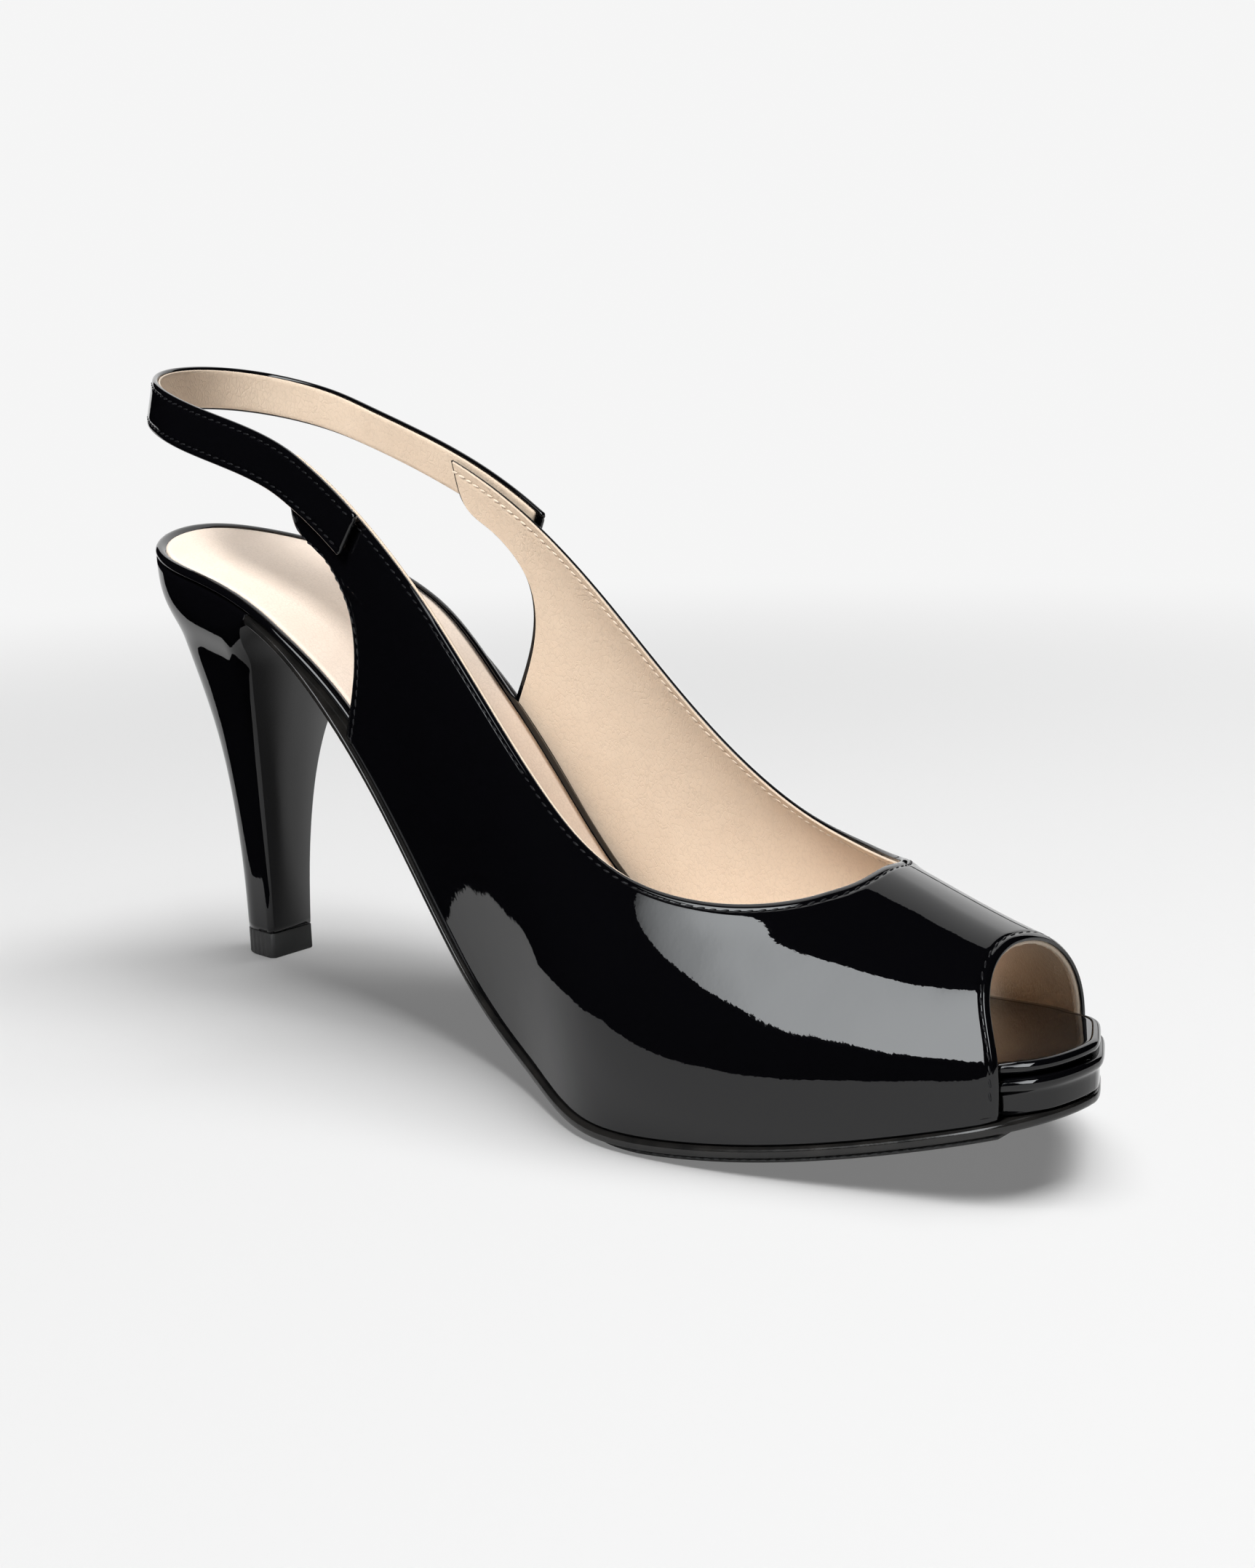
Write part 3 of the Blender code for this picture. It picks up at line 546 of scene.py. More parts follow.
wall_curve = {name: table_curve(WALL, WALL_COLUMNS, "back", name) for name in WALL_COLUMNS[1:]}


def last_point(back, across_share):
    """A point of the upper's outer face: across_share is 0 on the ridge, -1 and 1 on the feather edges."""
    back = np.asarray(back, float)
    side = np.where(np.asarray(across_share) < 0, -1.0, 1.0)
    up = 1.0 - np.abs(across_share)
    foot = sole_width(back, side) - FEATHER_INSET
    low = outsole_top(back) + CLEARANCE
    top = wall_curve["ridge"](back)
    centre = side * wall_curve["shift"](back)
    wall_out = foot + np.where(side < 0, wall_curve["medial_bulge"](back), wall_curve["lateral_bulge"](back))
    wall_up = low + WALL_HANDLE * (top - low)
    crown = np.where(side < 0, wall_curve["medial_crown"](back), wall_curve["lateral_crown"](back))
    first, second, third, fourth = (1 - up) ** 3, 3 * up * (1 - up) ** 2, 3 * up ** 2 * (1 - up), up ** 3
    out = first * foot + second * wall_out + third * (centre + crown) + fourth * centre
    height = first * low + second * wall_up + (third + fourth) * top
    return np.stack([-back, side * out, height], axis=-1)


def wall_outward(back, across_share):
    """Unit outward normals of the last's wall."""
    nudge_back, nudge_share = 0.05, 0.005
    along = last_point(back + nudge_back, across_share) - last_point(back - nudge_back, across_share)
    across = last_point(back, across_share + nudge_share) - last_point(back, across_share - nudge_share)
    normal = np.cross(across, along)
    return normal / np.linalg.norm(normal, axis=-1)[..., None]


def topline_points():
    """The topline from the medial tail round the throat to the lateral tail: back and across_share."""
    back = column(TOPLINE, TOPLINE_COLUMNS, "back")
    medial = np.stack([back, -column(TOPLINE, TOPLINE_COLUMNS, "medial_down")], axis=1)
    lateral = np.stack([back, column(TOPLINE, TOPLINE_COLUMNS, "lateral_down")], axis=1)
    return np.concatenate([medial[::-1], lateral[1:]])


def run_length(points):
    """Distance along a line of points up to each of them."""
    return np.concatenate([[0.0], np.cumsum(np.linalg.norm(np.diff(points, axis=0), axis=1))])


# Columns of the band run from one tail round the toe to the other and crowd at the quarters' rear edges.
fine_run = EDGE_STEPS / (QUARTER_FOOT - TOE_EDGE[0][1])
coarse_run = np.linspace(fine_run[-1], 1.0, SIDE_COLUMNS - len(EDGE_STEPS) + 2)
side_marks = np.concatenate([fine_run[:-1], coarse_run])
side_columns = len(side_marks) - 1
toe_back = table_curve(TOE_EDGE, TOE_EDGE_COLUMNS, "across_share", "back")
toe_share = np.linspace(-1.0, 1.0, 2 * TOE_COLUMNS + 1)
feather = []
for side in (-1.0, 1.0):
    run = QUARTER_FOOT + (float(toe_back(side)) - QUARTER_FOOT) * side_marks
    feather.append(np.stack([run, np.full_like(run, side)], axis=1))
outer_rim = np.concatenate([feather[0][:-1], np.stack([toe_back(toe_share), toe_share], axis=1),
                            feather[1][::-1][1:]])

top = topline_points()
length = run_length(top * (1.0, WALL_RUN))
throat = len(TOPLINE) - 1
medial_corner, lateral_corner = length[throat - THROAT_ROW], length[throat + THROAT_ROW]
marks = np.concatenate([
    medial_corner * side_marks[:-1],
    np.linspace(medial_corner, length[throat], TOE_COLUMNS + 1)[:-1],
    np.linspace(length[throat], lateral_corner, TOE_COLUMNS + 1)[:-1],
    length[-1] + (lateral_corner - length[-1]) * side_marks[::-1]])
inner_rim = np.stack([smooth_curve(length, top[:, k])(marks) for k in range(2)], axis=1)
band_columns = len(marks)


def band_places(share):
    """Places on the last over the upper's band; share runs from its foot to the topline in each column."""
    places = outer_rim[None] * (1.0 - share[..., None]) + inner_rim[None] * share[..., None]
    along = np.append(column(QUARTER_END, QUARTER_END_COLUMNS, "along"), 1.0)
    end_back = column(QUARTER_END, QUARTER_END_COLUMNS, "back")
    end_up = column(QUARTER_END, QUARTER_END_COLUMNS, "up")
    for side, end in ((-1.0, 0), (1.0, band_columns - 1)):
        tip = inner_rim[end]
        edge_back = smooth_curve(along, np.append(end_back, tip[0]))
        edge_up = smooth_curve(along, np.append(end_up, 1.0 - abs(tip[1])))
        for step, mark in enumerate(side_marks):
            c = end + step if end == 0 else end - step
            at = share[:, c]
            edge = np.stack([edge_back(at), side * (1.0 - edge_up(at))], axis=1)
            straight = outer_rim[end] * (1.0 - at[:, None]) + tip * at[:, None]
            places[:, c] += (1.0 - ease(mark, 0.0, END_REACH)) * (edge - straight)
    return places


def band_rows(foot_steps, top_steps, middle_rows):
    """Points over the band in rows at true distances from foot and topline, their normals, the distances."""
    fine_rows = 161
    even = np.linspace(0.0, 1.0, fine_rows)
    places = band_places(np.repeat(even[:, None], band_columns, axis=1))
    points = last_point(places[..., 0], places[..., 1])
    run = np.linalg.norm(np.diff(points, axis=0), axis=-1).cumsum(axis=0)
    run = np.concatenate([np.zeros((1, band_columns)), run])
    total = run[-1]
    low, high = (np.broadcast_to(steps.T, (band_columns, len(steps))).T for steps in (foot_steps, top_steps))
    between = total - low[-1] - high[-1]
    middle = low[-1] + between * np.linspace(0.0, 1.0, middle_rows + 2)[1:-1, None]
    from_foot = np.concatenate([low, middle, total - high[::-1]])
    share = np.stack([np.interp(from_foot[:, c], run[:, c], even) for c in range(band_columns)], axis=1)
    back, across_share = np.moveaxis(band_places(share), -1, 0)
    return last_point(back, across_share), wall_outward(back, across_share), from_foot, total - from_foot


def folded_edge(distance):
    """Height of a stitched edge over the plain wall: it rolls in at the fold and sinks at the seam."""
    fullness, roll_depth, seam_depth, seam_width = 0.05, 0.38, 0.22, 0.34
    roll = np.clip(1.0 - distance / SEAM_LINE, 0.0, 1.0)
    seam = np.exp(-((distance - SEAM_LINE) / seam_width) ** 2)
    return fullness - roll_depth * roll ** 2 - seam_depth * seam


fold_drop = FOLD_DROP * ease(inner_rim[:, 0], *FOLD_DROP_EASE)
wall, outward, from_foot, from_topline = band_rows(EDGE_STEPS, EDGE_STEPS[:, None] + fold_drop, MIDDLE_ROWS)
from_topline = from_topline - fold_drop


def distance_to(points, line):
    """Distance of each point to the nearest point of a line that is filled in between its own points."""
    fill = np.linspace(0.0, 1.0, 9)
    filled = np.concatenate([line[:-1] + (line[1:] - line[:-1]) * share for share in fill])
    nearest = np.full(points.shape[:-1], np.inf)
    for spot in filled:
        nearest = np.minimum(nearest, np.linalg.norm(points - spot, axis=-1))
    return nearest


from_medial_end, from_lateral_end = distance_to(wall, wall[:, 0]), distance_to(wall, wall[:, -1])
toe_columns = slice(side_columns, band_columns - side_columns)
from_edge = np.minimum(from_topline, np.minimum(from_medial_end, from_lateral_end))
from_edge[:, toe_columns] = np.minimum(from_edge[:, toe_columns], from_foot[:, toe_columns])
beside_throat = ease(-wall[..., 0], *FLARE_RISE) * (1.0 - ease(-wall[..., 0], *FLARE_FADE))
flare = FLARE * beside_throat * np.exp(-(from_topline / FLARE_DEPTH) ** 2)
surface = wall + outward * (folded_edge(from_edge) + flare)[..., None]
walled_piece("upper_patent", surface, wall - outward * PATENT_WALL, FOLD_ROUNDNESS,
             black_patent, "black_patent", "upper")

# Lining: thin pale leather cemented inside the upper, stitched together with it and cut off raw a little
# short of the folded edges. Its grain is a fine net of creases with painted shade in them, it wrinkles where
# it is drawn in at the toe, and its cut edge there is a little fuzzy and lighter: partly the raw edge's own
# paler colour, partly painted highlight where the edge catches light.
LINING_WALL = 0.48
CEMENT = 0.02
LINING_ROWS, LINING_END_COLUMNS = 30, 4
LINING_ROUNDNESS = 0.7
TOE_SETBACK, TOPLINE_SETBACK = 0.4, 0.05
TOPLINE_SEAM, TOE_SEAM = 2.4, 1.8
SEAM_DEPTH, SEAM_WIDTH = 0.13, 0.45
TOE_CUT_EASE = (1.0, 1.3)
TOE_CUT_FULLNESS, TOE_CUT_RAGGED = 0.3, 0.04
WRINKLE_HEIGHT, WRINKLE_REACH = (7.0, 15.0), (34.0, 50.0)
DRAWN_OUT = (0.4, 1.0, 1.0)

lining_leather, shader, tree = soft_leather(
    "lining_leather", dark=(0.69, 0.56, 0.435), light=(0.72, 0.59, 0.46), roughness=0.5, cell_mm=0.85,
    depth_mm=0.034, stretch=(1.0, 1.0, 0.6))
creased_colour, creased = (shader.inputs[name].links[0].from_socket for name in ("Base Color", "Normal"))
cut, drawn_in = (add_node(tree, "ShaderNodeAttribute", attribute_name=name).outputs["Fac"]
                 for name in ("cut_edge", "drawn_in"))
# The cut edge at the toe is coloured lighter: partly the raw edge's own paler colour, partly painted
# highlight where the edge catches light.
raw_edge_pale_and_painted_highlight = add_node(tree, "ShaderNodeMix", {
    "Factor": cut, "A": creased_colour, "B": (0.95, 0.80, 0.64, 1.0)}, data_type="RGBA")
soft_folds = bump(tree, grain(tree, cell_mm=3.2, detail=1.0, stretch=DRAWN_OUT), 0.06, creased)
wrinkles = grain(tree, cell_mm=1.5, detail=3.0, stretch=DRAWN_OUT)
wrinkles.node.noise_type = "RIDGED_MULTIFRACTAL"
feed(wrinkles.node, {"Offset": 1.0})
wrinkled = bump(tree, wrinkles, 0.045, soft_folds, strength=drawn_in, invert=True)
fuzz = bump(tree, grain(tree, cell_mm=0.32, detail=2.0), 0.3)
fuzzy = add_node(tree, "ShaderNodeMix", {"Factor": cut, "A": wrinkled, "B": fuzz}, data_type="VECTOR")
feed(shader, {"Base Color": raw_edge_pale_and_painted_highlight.outputs["Result"], "Normal": fuzzy.outputs["Result"]})

row_steps = np.array((0.0, 0.12, 0.3, 0.7, 1.0, 1.2, 1.45, TOE_SEAM, 2.1, TOPLINE_SEAM, 2.75, 3.2, 4.0))
lined, lined_outward, from_foot, from_topline = band_rows(
    np.append(0.0, TOE_SETBACK + row_steps), np.append(0.0, TOPLINE_SETBACK + row_steps), LINING_ROWS)
kept = (slice(1, -1), slice(LINING_END_COLUMNS, -LINING_END_COLUMNS))
lined, lined_outward = lined[kept], lined_outward[kept]
lining_toe = slice(side_columns - LINING_END_COLUMNS, band_columns - side_columns - LINING_END_COLUMNS)
from_toe_cut, from_top_cut = from_foot[kept] - TOE_SETBACK, from_topline[kept] - TOPLINE_SETBACK
cut_edge = np.zeros_like(from_toe_cut)
cut_edge[:, lining_toe] = 1.0 - ease(from_toe_cut, *TOE_CUT_EASE)[:, lining_toe]
from_seam = from_top_cut - TOPLINE_SEAM
from_seam[:, lining_toe] = np.minimum(np.abs(from_seam), np.abs(from_toe_cut - TOE_SEAM))[:, lining_toe]
ragged = np.random.default_rng(5).normal(0.0, TOE_CUT_RAGGED, cut_edge.shape)
relief = cut_edge * (TOE_CUT_FULLNESS + ragged) - SEAM_DEPTH * np.exp(-(from_seam / SEAM_WIDTH) ** 2)
lining_face = lined - lined_outward * (PATENT_WALL + CEMENT + LINING_WALL + relief)[..., None]
lining = walled_piece("upper_lining", lining_face, lined - lined_outward * (PATENT_WALL + CEMENT),
                      LINING_ROUNDNESS, lining_leather, "beige_leather", "upper", rings=3)
over_insole = lined[..., 2] - insole_base(-lined[..., 0])
toe_wrinkles = (1.0 - ease(over_insole, *WRINKLE_HEIGHT)) * (1.0 - ease(-lined[..., 0], *WRINKLE_REACH))
for name, shares in (("cut_edge", cut_edge), ("drawn_in", toe_wrinkles)):
    values = np.zeros(len(lining.data.vertices), np.float32)
    values[:2 * shares.size] = np.tile(shares.ravel(), 2)
    lining.data.attributes.new(name, "FLOAT", "POINT").data.foreach_set("value", values)

# Stitching: a row of lockstitch in black thread along each folded edge outside, and in pale thread where the
# same seam and the lining's own edge seam come through inside. Each stitch is a short slanted bead of thread.
STITCH_PITCH = 2.1
SEAM_TRIM, END_SEAM_TRIM = 3, 2


def stitch_group():
    """Node group that lays a bead of thread at even steps along a line that carries its outward direction."""
    group = bpy.data.node_groups.new("stitch_row", "GeometryNodeTree")
    sockets = {"Line": "Geometry", "Length": "Float", "Width": "Float", "Height": "Float", "Slant": "Float",
               "Count": "Int", "Thread": "Material"}
    for name, kind in sockets.items():
        group.interface.new_socket(name, in_out="INPUT", socket_type="NodeSocket" + kind)
    group.interface.new_socket("Stitches", in_out="OUTPUT", socket_type="NodeSocketGeometry")
    given = add_node(group, "NodeGroupInput").outputs
    curve = add_node(group, "GeometryNodeMeshToCurve", {"Mesh": given["Line"]})
    steps = add_node(group, "GeometryNodeResampleCurve", {
        "Curve": curve.outputs["Curve"], "Count": given["Count"]})
    tangent = add_node(group, "GeometryNodeInputTangent")
    outward = add_node(group, "GeometryNodeInputNamedAttribute", {"Name": "outward"},
                       data_type="FLOAT_VECTOR")
    along = add_node(group, "FunctionNodeAlignRotationToVector", {
        "Vector": tangent.outputs["Tangent"]}, axis="X")
    facing = add_node(group, "FunctionNodeAlignRotationToVector", {
        "Rotation": along.outputs["Rotation"], "Vector": outward.outputs["Attribute"]},
        axis="Z", pivot_axis="X")
    turn = add_node(group, "ShaderNodeCombineXYZ", {"Z": given["Slant"]})
    spin = add_node(group, "FunctionNodeEulerToRotation", {"Euler": turn.outputs["Vector"]})
    slanted = add_node(group, "FunctionNodeRotateRotation", {
        "Rotation": facing.outputs["Rotation"], "Rotate By": spin.outputs["Rotation"]},
        rotation_space="LOCAL")
    jitter = add_node(group, "FunctionNodeRandomValue", {2: 0.9, 3: 1.1, "Seed": 7}, data_type="FLOAT")
    bead = add_node(group, "GeometryNodeMeshUVSphere", {"Segments": 8, "Rings": 5, "Radius": 0.5})
    smooth = add_node(group, "GeometryNodeSetShadeSmooth", {"Geometry": bead.outputs["Mesh"]})
    size = add_node(group, "ShaderNodeCombineXYZ", {
        "X": given["Length"], "Y": given["Width"], "Z": given["Height"]})
    shaped = add_node(group, "GeometryNodeTransform", {
        "Geometry": smooth.outputs["Geometry"], "Scale": size.outputs["Vector"]})
    laid = add_node(group, "GeometryNodeInstanceOnPoints", {
        "Points": steps.outputs["Curve"], "Instance": shaped.outputs["Geometry"],
        "Rotation": slanted.outputs["Rotation"], "Scale": jitter.outputs[1]})
    real = add_node(group, "GeometryNodeRealizeInstances", {"Geometry": laid.outputs["Instances"]})
    threaded = add_node(group, "GeometryNodeSetMaterial", {
        "Geometry": real.outputs["Geometry"], "Material": given["Thread"]})
    add_node(group, "NodeGroupOutput", {"Stitches": threaded.outputs["Geometry"]})
    return group


stitch_row = stitch_group()


def sew(name, line, outward, thread, node, length=1.65, width=0.46, height=0.46, slant=0.2):
    """One row of stitches along a line of points in millimetres, made into a plain mesh."""
    run = float(np.linalg.norm(np.diff(line, axis=0), axis=1).sum())
    mesh = bpy.data.meshes.new(name + "_line")
    mesh.from_pydata(((line + toe_tip) * MM).tolist(), [(i, i + 1) for i in range(len(line) - 1)], [])
    direction = mesh.attributes.new("outward", "FLOAT_VECTOR", "POINT")
    direction.data.foreach_set("vector", np.ascontiguousarray(outward, np.float32).ravel())
    guide = bpy.data.objects.new(name + "_line", mesh)
    bpy.context.collection.objects.link(guide)
    rows = guide.modifiers.new("stitches", "NODES")
    rows.node_group = stitch_row
    values = {"Length": length * MM, "Width": width * MM, "Height": height * MM, "Slant": slant,
              "Count": int(round(run / STITCH_PITCH)), "Thread": thread}
    for socket in stitch_row.interface.items_tree:
        if socket.in_out == "INPUT" and socket.name in values:
            rows[socket.identifier] = values[socket.name]
    guide.update_tag()
    evaluated = guide.evaluated_get(bpy.context.evaluated_depsgraph_get())
    stitches = bpy.data.meshes.new_from_object(evaluated)
    bpy.data.objects.remove(guide)
    put_on_shoe(name, stitches, node)


black_thread = plain_material("black_thread", {
    "Base Color": (0.005, 0.005, 0.006, 1.0), "Roughness": 0.45, "Specular IOR Level": 0.4})[0]
beige_thread = plain_material("beige_thread", {
    "Base Color": (0.72, 0.60, 0.48, 1.0), "Roughness": 0.6, "Sheen Weight": 0.3})[0]
seam_row = int(round(SEAM_LINE / EDGE_STEPS[1]))
patent_seams = (
    ("topline_stitches", np.s_[-1 - seam_row, :]),
    ("toe_stitches", np.s_[seam_row, side_columns + SEAM_TRIM:band_columns - side_columns - SEAM_TRIM]),
    ("medial_end_stitches", np.s_[END_SEAM_TRIM:-seam_row, seam_row]),
    ("lateral_end_stitches", np.s_[END_SEAM_TRIM:-seam_row, -1 - seam_row]),
)
for name, row in patent_seams:
    sew(name, surface[row], outward[row], black_thread, "upper")
lining_seams = (
    ("lining_stitches", np.s_[-1 - list(row_steps).index(TOPLINE_SEAM), :], 0.7),
    ("lining_toe_stitches", np.s_[list(row_steps).index(TOE_SEAM), lining_toe], 0.6),
)
for name, row, width in lining_seams:
    sew(name, lining_face[row], -lined_outward[row], beige_thread, "upper",
        length=1.85, width=width)

# Sling strap: a narrow band of patent leather folded over a strip of lining leather and stitched along both
# edges. Its ends lap over the outside of the two tails of the upper and are sewn down there.
STRAP_WIDTH = 10.0
STRAP_THICKNESS = 2.0
STRAP_BACKING = 0.6
STRAP_LIFT = 0.4
STRAP_START, STRAP_LAP_END = 152.0, 172.0
STRAP_ABOVE_TAIL = 0.8
STRAP_TURN, STRAP_BACK = 200.0, 229.5
STRAP_REAR_HEIGHT = 129.5
STRAP_RISE_BEND = 0.2
STRAP_HALF_LOOP = 23.0
STRAP_LEAN = math.radians(12.0)
STRAP_LOOP_POINTS, STRAP_STATIONS = 11, 260
STRAP_EDGE, STRAP_LINING_INSET = 0.7, 0.9
STRAP_FACE_DROP, STRAP_SEAM_DROP = 0.15, 0.28
HEEL_CENTRE = 1.0


def strap_tail(side):
    """Middle line of the strap where it laps over one quarter's tail, and the wall's outward there."""
    lap_points, probe_share, middle_share = 5, 0.1, 0.07
    top = topline_points()
    half = top[:throat + 1][::-1] if side < 0 else top[throat:]
    edge = smooth_curve(half[:, 0], half[:, 1])
    points, directions = [], []
    for back in np.linspace(STRAP_START, STRAP_LAP_END, lap_points):
        rim_share = float(edge(back))
        rim = last_point(back, rim_share)
        below = last_point(back, rim_share + probe_share * side)
        down = (below - rim) / np.linalg.norm(below - rim)
        points.append(rim + down * (0.5 * STRAP_WIDTH - STRAP_ABOVE_TAIL))
        directions.append(wall_outward(back, rim_share + middle_share * side))
    return np.array(points), np.array(directions)


medial, medial_out = strap_tail(-1.0)
lateral, lateral_out = strap_tail(1.0)
turn = np.linspace(0.0, math.pi, STRAP_LOOP_POINTS)
reach = STRAP_BACK - STRAP_TURN
back = STRAP_TURN + reach * np.sin(turn)
share = (back - STRAP_LAP_END) / (STRAP_BACK - STRAP_LAP_END)
tail_height = np.where(turn < 0.5 * math.pi, medial[-1, 2], lateral[-1, 2])
bent = (1.0 + STRAP_RISE_BEND) * share - STRAP_RISE_BEND * share ** 2
height = tail_height + (STRAP_REAR_HEIGHT - tail_height) * bent
loop = np.stack([-back, HEEL_CENTRE - STRAP_HALF_LOOP * np.cos(turn), height], axis=1)
level = np.stack([-np.sin(turn) / reach, -np.cos(turn) / STRAP_HALF_LOOP], axis=1)
level *= math.cos(STRAP_LEAN) / np.linalg.norm(level, axis=1)[:, None]
loop_out = np.column_stack([level, np.full(len(turn), math.sin(STRAP_LEAN))])
route = np.concatenate([medial, loop, lateral[::-1]])
route_out = np.concatenate([medial_out, loop_out, lateral_out[::-1]])

length = run_length(route)
at = np.linspace(0.0, length[-1], STRAP_STATIONS)
middle, strap_out = (np.stack([smooth_curve(length, rows[:, k])(at) for k in range(3)], axis=1)
                     for rows in (route, route_out))
along = np.gradient(middle, axis=0)
along /= np.linalg.norm(along, axis=1)[:, None]
rise = np.cross(strap_out, along)
rise *= np.sign(rise[:, 2:3]) / np.linalg.norm(rise, axis=1)[:, None]
square = np.cross(along, rise)
strap_out = square * np.sign(np.sum(square * strap_out, axis=1))[:, None]


def strap_band(half_width, low, high, columns, relief=np.zeros_like, ends=0):
    """The two faces of a band along the strap, low and high over the wall, with a relief on the high one."""
    along = slice(ends, len(middle) - ends)
    place = np.linspace(-half_width, half_width, columns)
    crest = high + relief(half_width - np.abs(place))
    spread = middle[along, None] + rise[along, None] * place[None, :, None]
    return spread + strap_out[along, None] * crest[None, :, None], spread + strap_out[along, None] * low


bulk = STRAP_LIFT + STRAP_THICKNESS
lining_top = STRAP_LIFT + STRAP_BACKING
front, rear = strap_band(0.5 * STRAP_WIDTH - STRAP_EDGE, lining_top, bulk - STRAP_FACE_DROP,
                         columns=36, relief=lambda distance: folded_edge(distance + STRAP_EDGE))
walled_piece("strap_patent", front, rear, 1.0, black_patent, "black_patent", "sling_strap")
front, rear = strap_band(0.5 * STRAP_WIDTH - STRAP_LINING_INSET, lining_top - CEMENT, STRAP_LIFT,
                         columns=12, ends=2)
walled_piece("strap_lining", front, rear, LINING_ROUNDNESS, lining_leather, "beige_leather", "sling_strap",
             rings=3)
for name, side in (("strap_upper_stitches", 1.0), ("strap_lower_stitches", -1.0)):
    line = middle + rise * side * (0.5 * STRAP_WIDTH - SEAM_LINE) + strap_out * (bulk - STRAP_SEAM_DROP)
    sewn = slice(SEAM_TRIM, -SEAM_TRIM)
    sew(name, line[sewn], strap_out[sewn], black_thread, "sling_strap")

# Heel: a slim moulded heel covered in the same patent leather, fixed under the heel seat. It stands on a
# small top piece of hard black rubber.
TOP_PIECE_HEIGHT = 6.0
HEEL_LEVELS, HEEL_SIDE_POINTS = 70, 44
HEEL_COLUMNS = ("down", "front", "rear", "half_width")
HEEL = (
    (0.0, 188.0, 230.4, 23.4),
    (0.05, 190.4, 230.2, 22.4),
    (0.14, 194.2, 229.0, 19.6),
    (0.27, 198.6, 226.6, 15.6),
    (0.45, 203.2, 223.4, 11.0),
    (0.68, 206.2, 221.0, 7.8),
    (0.86, 207.2, 220.2, 6.6),
    (1.0, 207.6, 220.0, 6.2),
)
heel_curves = [table_curve(HEEL, HEEL_COLUMNS, "down", name) for name in HEEL_COLUMNS[1:]]


def heel_plan(share, front, rear, half_width):
    """One level of the heel: a loop from its flat breast to its round back, down both sides."""
    round_start, corner_run, corner_cut = 0.42, 0.12, 0.14
    seat_inset, seat_share, smallest = 0.6, 0.2, 0.25
    place = 0.5 - 0.5 * np.cos(math.pi * np.linspace(0.0, 1.0, HEEL_SIDE_POINTS))
    back = front + (rear - front) * place
    turn = np.clip((place - round_start) / (1.0 - round_start), 0.0, 1.0)
    corner = np.clip(1.0 - place / corner_run, 0.0, 1.0)
    half = half_width * np.sqrt(1.0 - turn ** SEAT_ROUNDNESS) * (1.0 - corner_cut * corner ** 2)
    blend = ease(share, 0.0, seat_share)
    medial = (1.0 - blend) * (sole_width(back, -1) - seat_inset) + blend * (half - HEEL_CENTRE)
    lateral = (1.0 - blend) * (sole_width(back, 1) - seat_inset) + blend * (half + HEEL_CENTRE)
    return plan_loop(back, np.maximum(medial, smallest - HEEL_CENTRE),
                     np.maximum(lateral, smallest + HEEL_CENTRE))


heel_foot = TOP_PIECE_HEIGHT + CLEARANCE
loops = []
for share in np.linspace(0.0, 1.0, HEEL_LEVELS):
    plan = heel_plan(share, *(float(curve(share)) for curve in heel_curves))
    seat = outsole_top(-plan[:, 0])
    loops.append(np.column_stack([plan, seat + (heel_foot - seat) * share]))
stacked_piece("heel_cover", loops, black_patent, "black_patent", "heel")

front, rear, half_width = (float(curve(1.0)) for curve in heel_curves)
top_piece_edge = ((0.5, 0.0), (0.15, 0.06), (0.0, 0.3), (0.0, 5.7), (0.12, 5.9), (0.4, TOP_PIECE_HEIGHT))
loops = []
for drawn_in, up in top_piece_edge:
    plan = heel_plan(1.0, front + drawn_in, rear - drawn_in, half_width - drawn_in)
    loops.append(np.column_stack([plan, np.full(len(plan), up)]))
stacked_piece("top_piece_rubber", loops, black_rubber, "black_rubber", "heel_top_piece")

# Studio: a pale floor that runs out into a white backdrop, a large softbox high on the near side and a white
# wall behind the shoe, which the patent leather mirrors; the rest of the room is dark. Two soft lamps that it
# does not mirror light the matt surfaces: one from above for the floor, one from the near side for the shoe.
BACKDROP = 0.916
FLOOR_REACH = 4.0
FADE_START, FADE_END, LEAST_GLOW = 0.25, 0.80, 0.2
PIVOT = Vector((0.06, -0.03, 0.035))
CARD_DISTANCE = 1.6


def stage_mesh(name, points, faces, material):
    mesh = bpy.data.meshes.new(name)
    mesh.from_pydata(points, [], faces)
    mesh.materials.append(material)
    prop = bpy.data.objects.new(name, mesh)
    bpy.context.collection.objects.link(prop)
    return prop


def sky_ray(azimuth, elevation):
    """Unit direction for an azimuth and an elevation in degrees."""
    a, e = np.radians(azimuth), np.radians(elevation)
    return np.stack([np.cos(e) * np.cos(a), np.cos(e) * np.sin(a), np.sin(e)], axis=-1)


def light_card(name, colour, rows):
    """A glowing card seen from the shoe: rows of azimuth and elevation in degrees and of brightness."""
    material = bpy.data.materials.new(name)
    material.use_nodes = True
    tree = material.node_tree
    tree.nodes.clear()
    level = add_node(tree, "ShaderNodeAttribute", attribute_name="brightness")
    glow = add_node(tree, "ShaderNodeEmission", {"Color": (*colour, 1.0), "Strength": level.outputs["Fac"]})
    add_node(tree, "ShaderNodeOutputMaterial", {"Surface": glow.outputs["Emission"]})
    azimuth, elevation, brightness = np.moveaxis(np.array(rows, float), -1, 0)
    points = np.array(PIVOT) + CARD_DISTANCE * sky_ray(azimuth, elevation).reshape(-1, 3)
    card = stage_mesh(name, points.tolist(), grid_faces(*azimuth.shape).tolist(), material)
    values = card.data.attributes.new("brightness", "FLOAT", "POINT")
    values.data.foreach_set("value", brightness.ravel().astype(np.float32))
    card.visible_camera = False
    card.visible_diffuse = False
    return card


